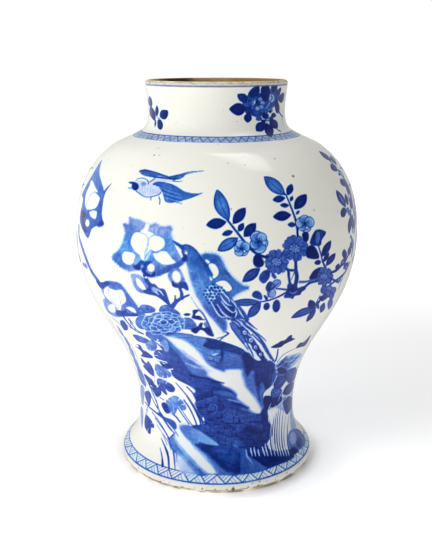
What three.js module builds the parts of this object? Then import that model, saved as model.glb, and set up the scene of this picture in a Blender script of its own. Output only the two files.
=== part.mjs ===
// A porcelain baluster vase: thrown clay sections and a base plate, luted together with rings of
// slip, and covered outside, inside and underneath with clear glaze that stops short of lip and foot.
// Millimetres, +Z up, origin at the centre of the face that the foot rests on.
import * as THREE from 'three';

// Heights of the silhouette's stretches, from the foot up
const FOOT_EDGE_HEIGHT = 7;
const FOOT_FLARE_HEIGHT = 47;
const LOWER_BODY_HEIGHT = 186;
const SHOULDER_HEIGHT = 88;
const NECK_HOLLOW_HEIGHT = 34;
const LIP_FLARE_HEIGHT = 23;

// Radii of the silhouette, over the glaze
const FOOT_RADIUS = 99.8;
const WAIST_RADIUS = 80.4;
const BELLY_RADIUS = 139.2;
const SHOULDER_EDGE_RADIUS = 92.8;
const NECK_RADIUS = 65.9;
const LIP_RADIUS = 68.3;

// How far each curve keeps its end's direction before it bends away
const FOOT_FLARE_INWARD = 6.8;
const FOOT_FLARE_UPWARD = 15;
const WAIST_REACH_DOWN = 31.7;
const WAIST_REACH_UP = 85;
const BELLY_REACH_DOWN = 84;
const BELLY_REACH_UP = 71;
const SHOULDER_REACH = 2;
const NECK_CORNER_RISE = 12;
const LIP_REACH = 6.8;

// Clay
const WALL_THICKNESS = 5.5;
const BASE_THICKNESS = 9;
const FOOT_RECESS_DEPTH = 14;
const FOOT_RING_WIDTH = 13.5;
const FOOT_BEVEL = 1.8;
const LIP_BEVEL = 1.1;

// Seams, each a ring of slip with a low ridge wiped along it inside
const WAIST_SEAM_ABOVE_WAIST = 9;
const BELLY_SEAM_BELOW_BELLY = 6;
const NECK_SEAM_ABOVE_SHOULDER = 17;
const SLIP_THICKNESS = 1.2;
const SEAM_RIDGE = 0.9;
const SEAM_RIDGE_REACH = 7;

// Glaze
const GLAZE_THICKNESS = 0.5;
const BOND_GAP = 0.3;
const BARE_FOOT_EDGE = 3;
const BARE_LIP_OUTSIDE = 1.6;
const BARE_LIP_INSIDE = 11;
const BASE_GLAZE_MARGIN = 1.5;

// Fineness of the turned surfaces
const TURN_STEPS = 40;
const FLARE_STEPS = 5;
const BODY_STEPS = 8;
const SHOULDER_STEPS = 6;
const HOLLOW_STEPS = 4;
const LIP_STEPS = 2;

// Levels and depths that follow from those sizes
const waistLevel = FOOT_EDGE_HEIGHT + FOOT_FLARE_HEIGHT;
const bellyLevel = waistLevel + LOWER_BODY_HEIGHT;
const shoulderLevel = bellyLevel + SHOULDER_HEIGHT;
const neckLevel = shoulderLevel + NECK_HOLLOW_HEIGHT;
const lipLevel = neckLevel + LIP_FLARE_HEIGHT;
const floorLevel = FOOT_RECESS_DEPTH + BASE_THICKNESS;
const waistSeam = waistLevel + WAIST_SEAM_ABOVE_WAIST;
const bellySeam = bellyLevel - BELLY_SEAM_BELOW_BELLY;
const neckSeam = shoulderLevel + NECK_SEAM_ABOVE_SHOULDER;
const clayDepth = GLAZE_THICKNESS + BOND_GAP;
const cavityDepth = clayDepth + WALL_THICKNESS;
const halfSlip = SLIP_THICKNESS / 2;

const at = (radius, level) => new THREE.Vector2(radius, level);
const raised = (end, rise) => at(end.x, end.y + rise);

// The silhouette from foot to lip, as points that each hold the direction straight into the wall.
function silhouette() {
  const foot = at(FOOT_RADIUS, FOOT_EDGE_HEIGHT);
  const flare = at(FOOT_RADIUS - FOOT_FLARE_INWARD, FOOT_EDGE_HEIGHT + FOOT_FLARE_UPWARD);
  const waist = at(WAIST_RADIUS, waistLevel);
  const belly = at(BELLY_RADIUS, bellyLevel);
  const shoulder = at(SHOULDER_EDGE_RADIUS, shoulderLevel);
  const corner = at(NECK_RADIUS, shoulderLevel + NECK_CORNER_RISE);
  const neck = at(NECK_RADIUS, neckLevel);
  const lip = at(LIP_RADIUS, lipLevel);
  const shoulderRun = shoulder.clone().sub(corner).setLength(SHOULDER_REACH).add(shoulder);
  const curve = (...ends) => new THREE.CubicBezierCurve(...ends);
  const stretches = [
    { steps: 1, line: new THREE.LineCurve(at(FOOT_RADIUS, 0), foot) },
    { steps: FLARE_STEPS, line: curve(foot, flare, raised(waist, -WAIST_REACH_DOWN), waist) },
    {
      steps: BODY_STEPS,
      line: curve(waist, raised(waist, WAIST_REACH_UP), raised(belly, -BELLY_REACH_DOWN), belly),
    },
    { steps: SHOULDER_STEPS, line: curve(belly, raised(belly, BELLY_REACH_UP), shoulderRun, shoulder) },
    { steps: HOLLOW_STEPS, line: curve(shoulder, corner, corner, neck) },
    { steps: LIP_STEPS, line: curve(neck, raised(neck, LIP_REACH), raised(lip, -LIP_REACH), lip) },
  ];
  const stations = [];
  for (const { steps, line } of stretches) {
    const first = stations.length ? 1 : 0;
    for (let step = first; step <= steps; step += 1) {
      const along = line.getTangent(step / steps);
      stations.push({ place: line.getPoint(step / steps), inward: at(-along.y, along.x) });
    }
  }
  return stations;
}

const stations = silhouette();

// The line that follows the silhouette at a depth below its surface.
function lineAtDepth(depth) {
  return stations.map(({ place, inward }) => place.clone().addScaledVector(inward, depth));
}

// Where a rising line crosses a level. Past its ends it runs straight up or down.
function crossing(line, level) {
  const next = line.findIndex((place) => place.y >= level);
  if (next === 0) {
    return at(line[0].x, level);
  }
  if (next < 0) {
    return at(line.at(-1).x, level);
  }
  const share = (level - line[next - 1].y) / (line[next].y - line[next - 1].y);
  return at(THREE.MathUtils.lerp(line[next - 1].x, line[next].x, share), level);
}

// The stretch of a rising line between two levels, cut level at both ends.
function stretch(line, low, high) {
  const inside = line.filter((place) => place.y > low && place.y < high);
  return [crossing(line, low), ...inside, crossing(line, high)];
}

// A line of the inner face, with the ridge of wiped slip that stands along each seam.
function withSeamRidges(line) {
  const offsets = [-SEAM_RIDGE_REACH, 0, SEAM_RIDGE_REACH];
  let ridged = line;
  for (const seam of [waistSeam, bellySeam, neckSeam]) {
    const ridge = offsets.map((offset) => {
      const place = crossing(line, seam + offset);
      return at(place.x - (offset === 0 ? SEAM_RIDGE : 0), place.y);
    });
    const outside = ridged.filter((place) => Math.abs(place.y - seam) > SEAM_RIDGE_REACH);
    ridged = [...outside, ...ridge];
  }
  return ridged.sort((lower, upper) => lower.y - upper.y);
}

const glazeFace = lineAtDepth(0);
const glazeBack = lineAtDepth(GLAZE_THICKNESS);
const clayFace = lineAtDepth(clayDepth);
const cavityFace = withSeamRidges(lineAtDepth(cavityDepth));
const innerGlazeBack = withSeamRidges(lineAtDepth(cavityDepth + BOND_GAP));
const innerGlazeFace = withSeamRidges(lineAtDepth(cavityDepth + BOND_GAP + GLAZE_THICKNESS));
const seatRadius = crossing(cavityFace, floorLevel).x;
const plateRadius = seatRadius - SLIP_THICKNESS;

// A solid turned about +Z from an outline that runs up its outside and down its inside.
function turned(name, outline, material) {
  const geometry = new THREE.LatheGeometry(outline, TURN_STEPS);
  geometry.rotateX(Math.PI / 2);
  const mesh = new THREE.Mesh(geometry, material);
  mesh.name = name;
  return mesh;
}

const closed = (outline) => [...outline, outline[0].clone()];
const downward = (line) => [...line].reverse();

// The wall between two levels, from clay face to cavity.
function wallOutline(low, high) {
  return closed([...stretch(clayFace, low, high), ...downward(stretch(cavityFace, low, high))]);
}

// The spreading foot, with its recess underneath and the upright seat for the base plate.
function footOutline() {
  const top = waistSeam - halfSlip;
  const footEdge = crossing(clayFace, FOOT_BEVEL).x;
  return closed([
    at(FOOT_RADIUS - clayDepth - FOOT_RING_WIDTH, 0),
    at(footEdge - FOOT_BEVEL, 0),
    ...stretch(clayFace, FOOT_BEVEL, top),
    ...downward(stretch(cavityFace, floorLevel, top)),
    at(seatRadius, FOOT_RECESS_DEPTH),
  ]);
}

// The neck and lip, with both edges of the flat lip taken off.
function neckOutline() {
  const bottom = neckSeam + halfSlip;
  const outer = crossing(clayFace, lipLevel).x;
  const inner = crossing(cavityFace, lipLevel).x;
  return closed([
    ...stretch(clayFace, bottom, lipLevel - LIP_BEVEL),
    at(outer - LIP_BEVEL, lipLevel),
    at(inner + LIP_BEVEL, lipLevel),
    ...downward(stretch(cavityFace, bottom, lipLevel - LIP_BEVEL)),
  ]);
}

// A flat disc centred on the axis.
function discOutline(radius, low, high) {
  return [at(0, low), at(radius, low), at(radius, high), at(0, high)];
}

// The upright ring of slip that holds the base plate in the foot.
function baseSlipOutline() {
  return closed([
    at(plateRadius, FOOT_RECESS_DEPTH),
    at(seatRadius, FOOT_RECESS_DEPTH),
    at(seatRadius, floorLevel),
    at(plateRadius, floorLevel),
  ]);
}

function seamOutline(level) {
  return wallOutline(level - halfSlip, level + halfSlip);
}

function outerGlazeOutline() {
  const top = lipLevel - BARE_LIP_OUTSIDE;
  return closed([
    ...stretch(glazeFace, BARE_FOOT_EDGE, top),
    ...downward(stretch(glazeBack, BARE_FOOT_EDGE, top)),
  ]);
}

// The glaze over the floor and up the inside of the walls.
function innerGlazeOutline() {
  const top = lipLevel - BARE_LIP_INSIDE;
  const back = floorLevel + BOND_GAP;
  const face = back + GLAZE_THICKNESS;
  return [
    at(0, back),
    ...stretch(innerGlazeBack, back, top),
    ...downward(stretch(innerGlazeFace, face, top)),
    at(0, face),
  ];
}

const biscuit = (color) => new THREE.MeshStandardMaterial({ color, roughness: 0.85, metalness: 0 });
const glaze = (color) => new THREE.MeshStandardMaterial({ color, roughness: 0.12, metalness: 0 });

const clay = new THREE.Group();
clay.add(
  turned('foot_section', footOutline(), biscuit(0xe9dfca)),
  turned('base_plate', discOutline(plateRadius, FOOT_RECESS_DEPTH, floorLevel), biscuit(0xe6dcc8)),
  turned('lower_body', wallOutline(waistSeam + halfSlip, bellySeam - halfSlip), biscuit(0xe8e0cf)),
  turned('upper_body', wallOutline(bellySeam + halfSlip, neckSeam - halfSlip), biscuit(0xe8e0cf)),
  turned('neck_and_lip', neckOutline(), biscuit(0xc4b59e)),
);

const slip = new THREE.Group();
slip.add(
  turned('base_slip', baseSlipOutline(), biscuit(0xf0eadc)),
  turned('waist_slip', seamOutline(waistSeam), biscuit(0xf0eadc)),
  turned('belly_slip', seamOutline(bellySeam), biscuit(0xf0eadc)),
  turned('neck_slip', seamOutline(neckSeam), biscuit(0xf0eadc)),
);

const glazes = new THREE.Group();
const baseGlazeTop = FOOT_RECESS_DEPTH - BOND_GAP;
glazes.add(
  turned('outer_glaze', outerGlazeOutline(), glaze(0xdfe4ea)),
  turned('inner_glaze', innerGlazeOutline(), glaze(0xeef0ea)),
  turned(
    'base_glaze',
    discOutline(seatRadius - BASE_GLAZE_MARGIN, baseGlazeTop - GLAZE_THICKNESS, baseGlazeTop),
    glaze(0xeef0ea),
  ),
);

const vase = new THREE.Group();
vase.add(clay, slip, glazes);

export default vase;
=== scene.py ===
import math

import bpy
import numpy as np
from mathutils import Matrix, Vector


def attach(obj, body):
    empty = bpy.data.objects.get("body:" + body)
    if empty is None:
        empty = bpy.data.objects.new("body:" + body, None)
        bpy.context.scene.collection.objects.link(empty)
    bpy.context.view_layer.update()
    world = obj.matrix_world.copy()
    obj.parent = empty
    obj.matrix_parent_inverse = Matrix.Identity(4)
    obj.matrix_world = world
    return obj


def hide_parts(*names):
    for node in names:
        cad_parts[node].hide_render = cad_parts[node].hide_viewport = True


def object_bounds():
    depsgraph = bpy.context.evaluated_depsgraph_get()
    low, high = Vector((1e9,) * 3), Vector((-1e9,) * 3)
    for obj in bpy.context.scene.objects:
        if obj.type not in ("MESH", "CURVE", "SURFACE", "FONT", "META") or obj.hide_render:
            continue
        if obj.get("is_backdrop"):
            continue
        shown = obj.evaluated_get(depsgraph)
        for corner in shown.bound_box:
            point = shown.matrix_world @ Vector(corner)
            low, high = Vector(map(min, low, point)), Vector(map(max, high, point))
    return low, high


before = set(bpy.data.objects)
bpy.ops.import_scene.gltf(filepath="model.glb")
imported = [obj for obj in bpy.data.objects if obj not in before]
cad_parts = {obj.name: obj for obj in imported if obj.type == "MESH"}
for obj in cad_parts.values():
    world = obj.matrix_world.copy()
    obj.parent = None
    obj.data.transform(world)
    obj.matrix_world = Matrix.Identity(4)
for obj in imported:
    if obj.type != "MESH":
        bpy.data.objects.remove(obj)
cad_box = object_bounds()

MM = 0.001

# The photograph's camera, in metres and in pixels of the 432 by 540 frame
FRAME_WIDTH = 432
FRAME_HEIGHT = 540
CAMERA_DISTANCE = 0.7984
CAMERA_HEIGHT = 0.4082
CAMERA_PITCH = math.radians(14.87)
FOCAL_PIXELS = 811.8
PHOTO_CENTRE = (216.6, 270.0)
SENSOR = 36.0

# The painted glaze
CELL = 0.7 * MM
EDGE = 0.6 * MM
GLAZE_DEPTH = 0.5 * MM
BAND_COUNT = 9
INNER_ROW_STEP = 7
LINE_STEP = 0.5 * MM
WOBBLE = 0.12 * MM
ROUND_STEPS = 256
LAYERS = ("cobalt", "iron", "hue")
PAINTED_TONE = 0.3

# Meshes
WELD = 1e-6
CREASE_ANGLE = 0.8
INSIDE_STEP = 4 * MM
FOOT_STEP = 1.5 * MM
LIP_STEP = 2 * MM


# Node trees


class Link:
    """One output in a node tree. Arithmetic on it adds Math nodes, and add puts in any other node."""

    def __init__(self, tree, socket=None):
        self.tree = tree
        self.socket = socket

    def add(self, kind, settings=None, inputs=None, output=0):
        node = self.tree.nodes.new(kind)
        for name, value in (settings or {}).items():
            if name == "stops":
                ramp = node.color_ramp
                while len(ramp.elements) < len(value):
                    ramp.elements.new(0.5)
                for element, (place, colour) in zip(ramp.elements, value):
                    element.position = place
                    element.color = (*colour, 1.0)
            else:
                setattr(node, name, value)
        for key, value in (inputs or {}).items():
            if isinstance(value, Link):
                self.tree.links.new(value.socket, node.inputs[key])
            else:
                node.inputs[key].default_value = value
        return Link(self.tree, node.outputs[output] if len(node.outputs) else None)

    def math(self, operation, first, second=0.0):
        return self.add("ShaderNodeMath", {"operation": operation}, {0: first, 1: second})

    def __add__(self, other):
        return self.math("ADD", self, other)

    def __sub__(self, other):
        return self.math("SUBTRACT", self, other)

    def __rsub__(self, other):
        return self.math("SUBTRACT", other, self)

    def __mul__(self, other):
        return self.math("MULTIPLY", self, other)

    def __truediv__(self, other):
        return self.math("DIVIDE", self, other)

    __radd__ = __add__
    __rmul__ = __mul__

    def clamped(self):
        return self.add("ShaderNodeClamp", None, {"Value": self})

    def between(self, low, high):
        """0 below low and 1 above high, with an eased climb."""
        settings = {"interpolation_type": "SMOOTHSTEP"}
        return self.add("ShaderNodeMapRange", settings, {"Value": self, "From Min": low, "From Max": high})

    def mixed(self, first, second):
        """first where this is 0 and second where it is 1, both colours."""
        node = self.add("ShaderNodeMix", {"data_type": "RGBA"}, {0: self}, 2)
        mix = node.socket.node
        for place, value in ((6, first), (7, second)):
            if isinstance(value, Link):
                self.tree.links.new(value.socket, mix.inputs[place])
            else:
                mix.inputs[place].default_value = (*value, 1.0)
        return node

    def noise(self, scale, detail=2.0, roughness=0.5, distortion=0.0):
        inputs = {"Vector": self, "Scale": scale, "Detail": detail}
        inputs.update({"Roughness": roughness, "Distortion": distortion})
        return self.add("ShaderNodeTexNoise", None, inputs)

    def tinted(self, cast):
        """This colour multiplied by another."""
        settings = {"data_type": "RGBA", "blend_type": "MULTIPLY"}
        return self.add("ShaderNodeMix", settings, {0: 1.0, 6: self, 7: cast}, 2)

    def axis(self, number):
        """One of the three numbers of a place or a direction."""
        return self.add("ShaderNodeSeparateXYZ", None, {0: self}, number)

    def stretched(self, x, y, z):
        return self.add("ShaderNodeMapping", None, {"Vector": self, "Scale": (x, y, z)})

    def glow(self, level):
        """White light as strong as the level."""
        colour = self.add("ShaderNodeCombineColor", None, {0: level, 1: level, 2: level})
        return self.add("ShaderNodeEmission", None, {"Color": colour})

    def bump(self, strength, depth):
        return self.add("ShaderNodeBump", None, {"Strength": strength, "Distance": depth, "Height": self})


def linear(red, green, blue):
    """A colour as it is seen on a screen, 0 to 255, as the light that a shader works in."""
    def channel(value):
        value /= 255
        return value / 12.92 if value <= 0.04045 else ((value + 0.055) / 1.055) ** 2.4
    return channel(red), channel(green), channel(blue)


def new_material(name, settings):
    """A material, its Principled shader with the constant settings, and the object's own coordinates."""
    material = bpy.data.materials.new(name)
    material.use_nodes = True
    tree = material.node_tree
    shader = next(node for node in tree.nodes if node.type == "BSDF_PRINCIPLED")
    for key, value in settings.items():
        shader.inputs[key].default_value = value
    return material, shader, Link(tree).add("ShaderNodeTexCoord", output=3)


def feed(shader, **links):
    for key, link in links.items():
        link.tree.links.new(link.socket, shader.inputs[key.replace("_", " ")])


# Finishes


GLAZE_WHITE = linear(237, 236, 227)
COBALT_STOPS = (
    (0.0, GLAZE_WHITE),
    (0.1, linear(204, 217, 239)),
    (0.25, linear(150, 174, 223)),
    (0.45, linear(86, 121, 200)),
    (0.62, linear(52, 88, 174)),
    (0.8, linear(26, 55, 142)),
    (0.9, linear(12, 35, 112)),
    (1.0, linear(6, 22, 92)),
)

SKY_CAST = (0.72, 1.2, 1.12)
VIOLET_CAST = (1.34, 0.95, 0.98)
HAZE_CAST = (*linear(243, 246, 244), 1.0)
GLAZE_GLOSS = {"IOR": 1.5, "Specular IOR Level": 0.27}
CLAY_GLOSS = {"IOR": 1.45, "Specular IOR Level": 0.3}
SLIP_GLOSS = {"IOR": 1.45}


def painted_glaze():
    """White glaze over cobalt that pools, streaks and turns violet or sky blue. Iron burns through it."""
    material, shader, place = new_material("painted_glaze", GLAZE_GLOSS)
    cobalt, iron, hue = (
        place.add("ShaderNodeAttribute", {"attribute_name": name}, output=2) for name in LAYERS)
    pooling = place.noise(150, 3, 0.6, 0.6) - 0.5
    streak = place.stretched(1, 1, 0.4).noise(520, 3, 0.65) - 0.5
    grain = place.noise(1100, 2, 0.6) - 0.5
    room = cobalt * (1.14 - cobalt)
    depth = (cobalt + room * (pooling * 1.3 + streak * 0.7 + grain * 0.8)).clamped()
    painted = depth.add("ShaderNodeValToRGB", {"stops": COBALT_STOPS}, {0: depth})
    turned = hue + (place.noise(42, 2) - 0.5) * 0.7
    sky = (turned * -1).clamped() * cobalt.between(0.0, 0.3)
    violet = turned.clamped() * cobalt.between(0.35, 0.85)
    cast = violet.mixed(sky.mixed((1, 1, 1), SKY_CAST), VIOLET_CAST)
    coloured = painted.tinted(cast)
    haze = place.noise(9, 2).between(0.3, 0.7)
    hazed = (haze * 0.25).mixed(coloured, coloured.tinted(HAZE_CAST))
    # Brown specks and burns, and the dark line at the foot's bottom, which is partly painted contact shade
    burnt = (place.noise(420, 1).between(0.785, 0.805) * 0.6 + iron).clamped()
    colour = burnt.mixed(hazed, linear(108, 76, 40))
    skin = place.noise(140, 2, 0.5) * 0.6 + place.noise(700, 1) * 0.4
    feed(shader, Base_Color=colour, Roughness=0.1 + place.noise(60, 2) * 0.08,
         Normal=skin.bump(0.3, 0.00025))
    return material


def plain_glaze(name, shade):
    """Unpainted glaze, as on the inside and under the foot: faint ripples, pinholes and a slight tint."""
    material, shader, place = new_material(name, GLAZE_GLOSS)
    tint = place.noise(14, 3).between(0.3, 0.75).mixed(linear(*shade), linear(*(c - 12 for c in shade)))
    pinhole = place.noise(520, 1).between(0.74, 0.77)
    ripple = place.noise(90, 2)
    feed(shader, Base_Color=(pinhole * 0.7).mixed(tint, linear(122, 100, 74)),
         Roughness=0.12 + place.noise(70, 2) * 0.1, Normal=(ripple - pinhole * 0.4).bump(0.3, 0.0003))
    return material


def bare_clay(name, light, dark, wear, scorch_and_shade=0.0):
    """Unglazed fired clay: warm stain in clouds, burnt specks, turning lines and a dry grain.

    wear sets the stain's share; below the last height the kiln shelf burnt it in patches, with painted
    contact shade.
    """
    material, shader, place = new_material(name, CLAY_GLOSS)
    cloud = place.noise(38, 4, 0.65, 0.4).between(0.62 - wear * 0.3, 0.78)
    stained = cloud.mixed(linear(*light), linear(*dark))
    speck = place.noise(330, 2, 0.6).between(0.66, 0.71)
    # Darker patches at the bottom: partly kiln-shelf burn, partly painted contact shade
    if scorch_and_shade:
        low = 1 - place.axis(2).between(scorch_and_shade * 0.5, scorch_and_shade)
        speck = (speck + low * place.noise(46, 3).between(0.4, 0.56)).clamped()
    lines = place.stretched(1, 1, 60).noise(22, 2)
    grain = place.noise(1500, 2)
    feed(shader, Base_Color=(speck * 0.85).mixed(stained, linear(84, 62, 40)),
         Roughness=0.62 + grain * 0.25, Normal=(grain * 0.5 + lines * 0.3 - speck * 0.4).bump(0.5, 0.0003))
    return material


def worn_lip_clay(outer, stain_place):
    """The bare lip: cream toward its outer radius, tan and ochre inside it, and a dark stain."""
    material, shader, place = new_material("lip_clay", CLAY_GLOSS)
    reach = place.add("ShaderNodeVectorMath", {"operation": "LENGTH"}, {0: place.stretched(1, 1, 0)}, 1)
    away = place.add("ShaderNodeVectorMath", {"operation": "DISTANCE"}, {0: place, 1: stain_place}, 1)
    cloud = place.noise(70, 4, 0.65) - 0.5
    ochre = (place.axis(0) * 14 + cloud * 2).between(-0.2, 0.5)
    clay = ochre.mixed(linear(168, 144, 106), linear(150, 118, 64))
    stained = (1 - (away + cloud * 0.03).between(0.012, 0.036)).mixed(clay, linear(72, 46, 24))
    cream = place.noise(120, 3, 0.6).between(0.4, 0.66).mixed(linear(226, 216, 194), linear(184, 160, 126))
    worn = (reach + cloud * 3 * MM).between(outer - 3.6 * MM, outer - 1.8 * MM).mixed(stained, cream)
    speck = place.noise(300, 2, 0.6).between(0.65, 0.7)
    grain = place.noise(1500, 2)
    feed(shader, Base_Color=(speck * 0.7).mixed(worn, linear(84, 58, 36)),
         Roughness=0.6 + grain * 0.25, Normal=(grain * 0.5 - speck * 0.4).bump(0.5, 0.0003))
    return material


def slip_clay():
    """The thin clay cream between the turned sections: smooth, pale, finely grained."""
    material, shader, place = new_material("slip_clay", SLIP_GLOSS)
    patch = place.noise(60, 3).between(0.35, 0.7)
    feed(shader, Base_Color=patch.mixed(linear(232, 226, 212), linear(214, 204, 186)),
         Roughness=0.6 + place.noise(400, 2) * 0.2, Normal=place.noise(900, 2).bump(0.3, 0.0002))
    return material


# Turned walls


def turned_wall_tree():
    """Turns an outline, given as a closed line of points, round the upright axis into a closed wall."""
    tree = bpy.data.node_groups.new("turned_wall", "GeometryNodeTree")
    sides = tree.interface
    sides.new_socket("Outline", in_out="INPUT", socket_type="NodeSocketGeometry")
    sides.new_socket("Turn steps", in_out="INPUT", socket_type="NodeSocketInt")
    sides.new_socket("Finish", in_out="INPUT", socket_type="NodeSocketMaterial")
    sides.new_socket("Wall", in_out="OUTPUT", socket_type="NodeSocketGeometry")
    start = Link(tree)
    given = start.add("NodeGroupInput")
    outline, steps, finish = (Link(tree, socket) for socket in given.socket.node.outputs[:3])

    def whole(operation, first, second):
        return start.add("FunctionNodeIntegerMath", {"operation": operation}, {0: first, 1: second})

    points = start.add("GeometryNodeAttributeDomainSize", {"component": "MESH"}, {"Geometry": outline})
    rows = whole("ADD", points, 1)
    columns = whole("ADD", steps, 1)
    grid = start.add("GeometryNodeMeshGrid", None, {"Vertices X": columns, "Vertices Y": rows})
    index = start.add("GeometryNodeInputIndex")
    row = whole("MODULO", whole("MODULO", index, rows), points)
    column = whole("MODULO", whole("DIVIDE_FLOOR", index, rows), steps)
    spot = start.add("GeometryNodeSampleIndex", {"data_type": "FLOAT_VECTOR"}, {
        "Geometry": outline, "Value": start.add("GeometryNodeInputPosition"), "Index": row})
    angle = math.pi / 2 + (column * math.tau) / steps
    turned = start.add(
        "ShaderNodeVectorRotate", {"rotation_type": "Z_AXIS"}, {"Vector": spot, "Angle": angle})
    wall = start.add("GeometryNodeSetPosition", None, {"Geometry": grid, "Position": turned})
    for name, value in (("row", row), ("column", column)):
        wall = start.add("GeometryNodeStoreNamedAttribute", {"data_type": "INT", "domain": "POINT"}, {
            "Geometry": wall, "Name": name, "Value": value})
    wall = start.add("GeometryNodeMergeByDistance", None, {"Geometry": wall, "Distance": WELD})
    faces = start.add("GeometryNodeInputMeshEdgeNeighbors")
    loose = start.add("FunctionNodeCompare", {"data_type": "INT", "operation": "EQUAL"}, {2: faces, 3: 0})
    wall = start.add(
        "GeometryNodeDeleteGeometry", {"domain": "EDGE"}, {"Geometry": wall, "Selection": loose})
    bend = start.add("GeometryNodeInputMeshEdgeAngle")
    slight = start.add(
        "FunctionNodeCompare", {"data_type": "FLOAT", "operation": "LESS_THAN"}, {0: bend, 1: CREASE_ANGLE})
    for domain, soft in (("FACE", True), ("EDGE", slight)):
        wall = start.add(
            "GeometryNodeSetShadeSmooth", {"domain": domain}, {"Geometry": wall, "Shade Smooth": soft})
    wall = start.add("GeometryNodeRealizeInstances", None, {"Geometry": wall})
    wall = start.add("GeometryNodeSetMaterial", None, {"Geometry": wall, "Material": finish})
    start.add("NodeGroupOutput", None, {0: wall})
    return tree


def piece_from_tree(name, tree, base, settings):
    """The plain mesh that a tree makes of a base mesh, as a piece of its own at the origin."""
    carrier = bpy.data.objects.new(name + "_base", base)
    bpy.context.scene.collection.objects.link(carrier)
    modifier = carrier.modifiers.new("shape", "NODES")
    modifier.node_group = tree
    for socket in tree.interface.items_tree:
        if socket.in_out == "INPUT" and socket.name in settings:
            modifier[socket.identifier] = settings[socket.name]
    evaluated = carrier.evaluated_get(bpy.context.evaluated_depsgraph_get())
    mesh = bpy.data.meshes.new_from_object(evaluated)
    carrier.modifiers.remove(modifier)
    bpy.data.objects.remove(carrier)
    bpy.data.meshes.remove(base)
    mesh.name = name
    piece = bpy.data.objects.new(name, mesh)
    bpy.context.scene.collection.objects.link(piece)
    return piece


def turned_piece(name, outline, steps, finish):
    """outline is a closed line of (radius, height), up the outside and down the inside."""
    outline = np.asarray(outline, float)
    count = len(outline)
    base = bpy.data.meshes.new(name + "_outline")
    places = [(r, 0.0, z) for r, z in outline]
    base.from_pydata(places, [(i, (i + 1) % count) for i in range(count)], [])
    return piece_from_tree(name, turned_wall, base, {"Turn steps": steps, "Finish": finish})


def belongs(piece, slot, *nodes):
    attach(piece, "root")
    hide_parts(*nodes)


def point_values(mesh, name):
    values = np.zeros(len(mesh.vertices), np.int32)
    mesh.attributes[name].data.foreach_get("value", values)
    return values


# Lines of the CAD model


def meridian(node):
    """A turned node's closed outline in the half plane through +X, as (radius, height), outside first."""
    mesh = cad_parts[node].data
    places = np.array([tuple(v.co) for v in mesh.vertices])
    edges = np.array([tuple(e.vertices) for e in mesh.edges])
    on = (np.abs(places[:, 1]) < WELD) & (places[:, 0] > -WELD)
    spots, number = np.unique(np.round(places, 7), axis=0, return_inverse=True)
    number = number.ravel()
    near = {}
    for a, b in edges[on[edges].all(1)]:
        a, b = int(number[a]), int(number[b])
        if a != b:
            near.setdefault(a, set()).add(b)
            near.setdefault(b, set()).add(a)
    start = max(near, key=lambda k: (-round(spots[k][2], 6), spots[k][0]))
    line = [start]
    for first in sorted(near[start], key=lambda k: -(spots[k][0] + spots[k][2])):
        onward = [first] if first not in line else []
        while onward:
            line.append(onward[0])
            onward = [k for k in near[line[-1]] if k not in line]
        line.reverse()
    return spots[line][:, [0, 2]]


def curved(points, step):
    """A natural cubic spline through points of a line, with a place about every step."""
    points = np.asarray(points, float)
    at = np.concatenate([[0], np.cumsum(np.hypot(*np.diff(points, axis=0).T))])
    count = len(at)
    gaps = np.diff(at)
    system = np.eye(count)
    pull = np.zeros((count, 2))
    for i in range(1, count - 1):
        system[i, i - 1: i + 2] = gaps[i - 1], 2 * (gaps[i - 1] + gaps[i]), gaps[i]
        pull[i] = 6 * ((points[i + 1] - points[i]) / gaps[i] - (points[i] - points[i - 1]) / gaps[i - 1])
    bend = np.linalg.solve(system, pull)
    fine = np.linspace(0, at[-1], int(at[-1] / step) + 1)
    i = np.clip(np.searchsorted(at, fine, side="right") - 1, 0, count - 2)
    t, gap = (fine - at[i])[:, None], gaps[i][:, None]
    slope = (points[i + 1] - points[i]) / gap - gap * (2 * bend[i] + bend[i + 1]) / 6
    return points[i] + t * (slope + t * (bend[i] / 2 + t * (bend[i + 1] - bend[i]) / (6 * gap)))


def outer_line(outline):
    """The outer line of a thin open wall, from its foot to its top."""
    r, z = outline[:, 0], outline[:, 1]
    foot = max(range(len(outline)), key=lambda k: (-round(z[k], 6), r[k]))
    outline = np.roll(outline, -foot, axis=0)
    top = max(range(len(outline)), key=lambda k: (round(outline[k, 1], 6), outline[k, 0]))
    return outline[:top + 1]


def subdivided(outline, step):
    """An outline with points added along its straight runs, so that no run is longer than step."""
    outline = np.asarray(outline, float)
    places = []
    for start, stop in zip(outline, np.roll(outline, -1, axis=0)):
        pieces = max(1, int(math.ceil(np.hypot(*(stop - start)) / step)))
        places.append(start + (stop - start) * (np.arange(pieces) / pieces)[:, None])
    return np.concatenate(places)


# Painting


class Wall:
    """The outer face of the glaze: its radius and height along the line from foot to lip."""

    def __init__(self, radius, height):
        self.radius = radius
        self.height = height
        steps = np.hypot(np.diff(radius), np.diff(height))
        self.along = np.concatenate([[0], np.cumsum(steps)])

    def radius_at_height(self, height):
        return np.interp(height, self.height, self.radius)

    def along_at_height(self, height):
        return np.interp(height, self.height, self.along)

    def radius_along(self, along):
        return np.interp(along, self.along, self.radius)


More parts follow.
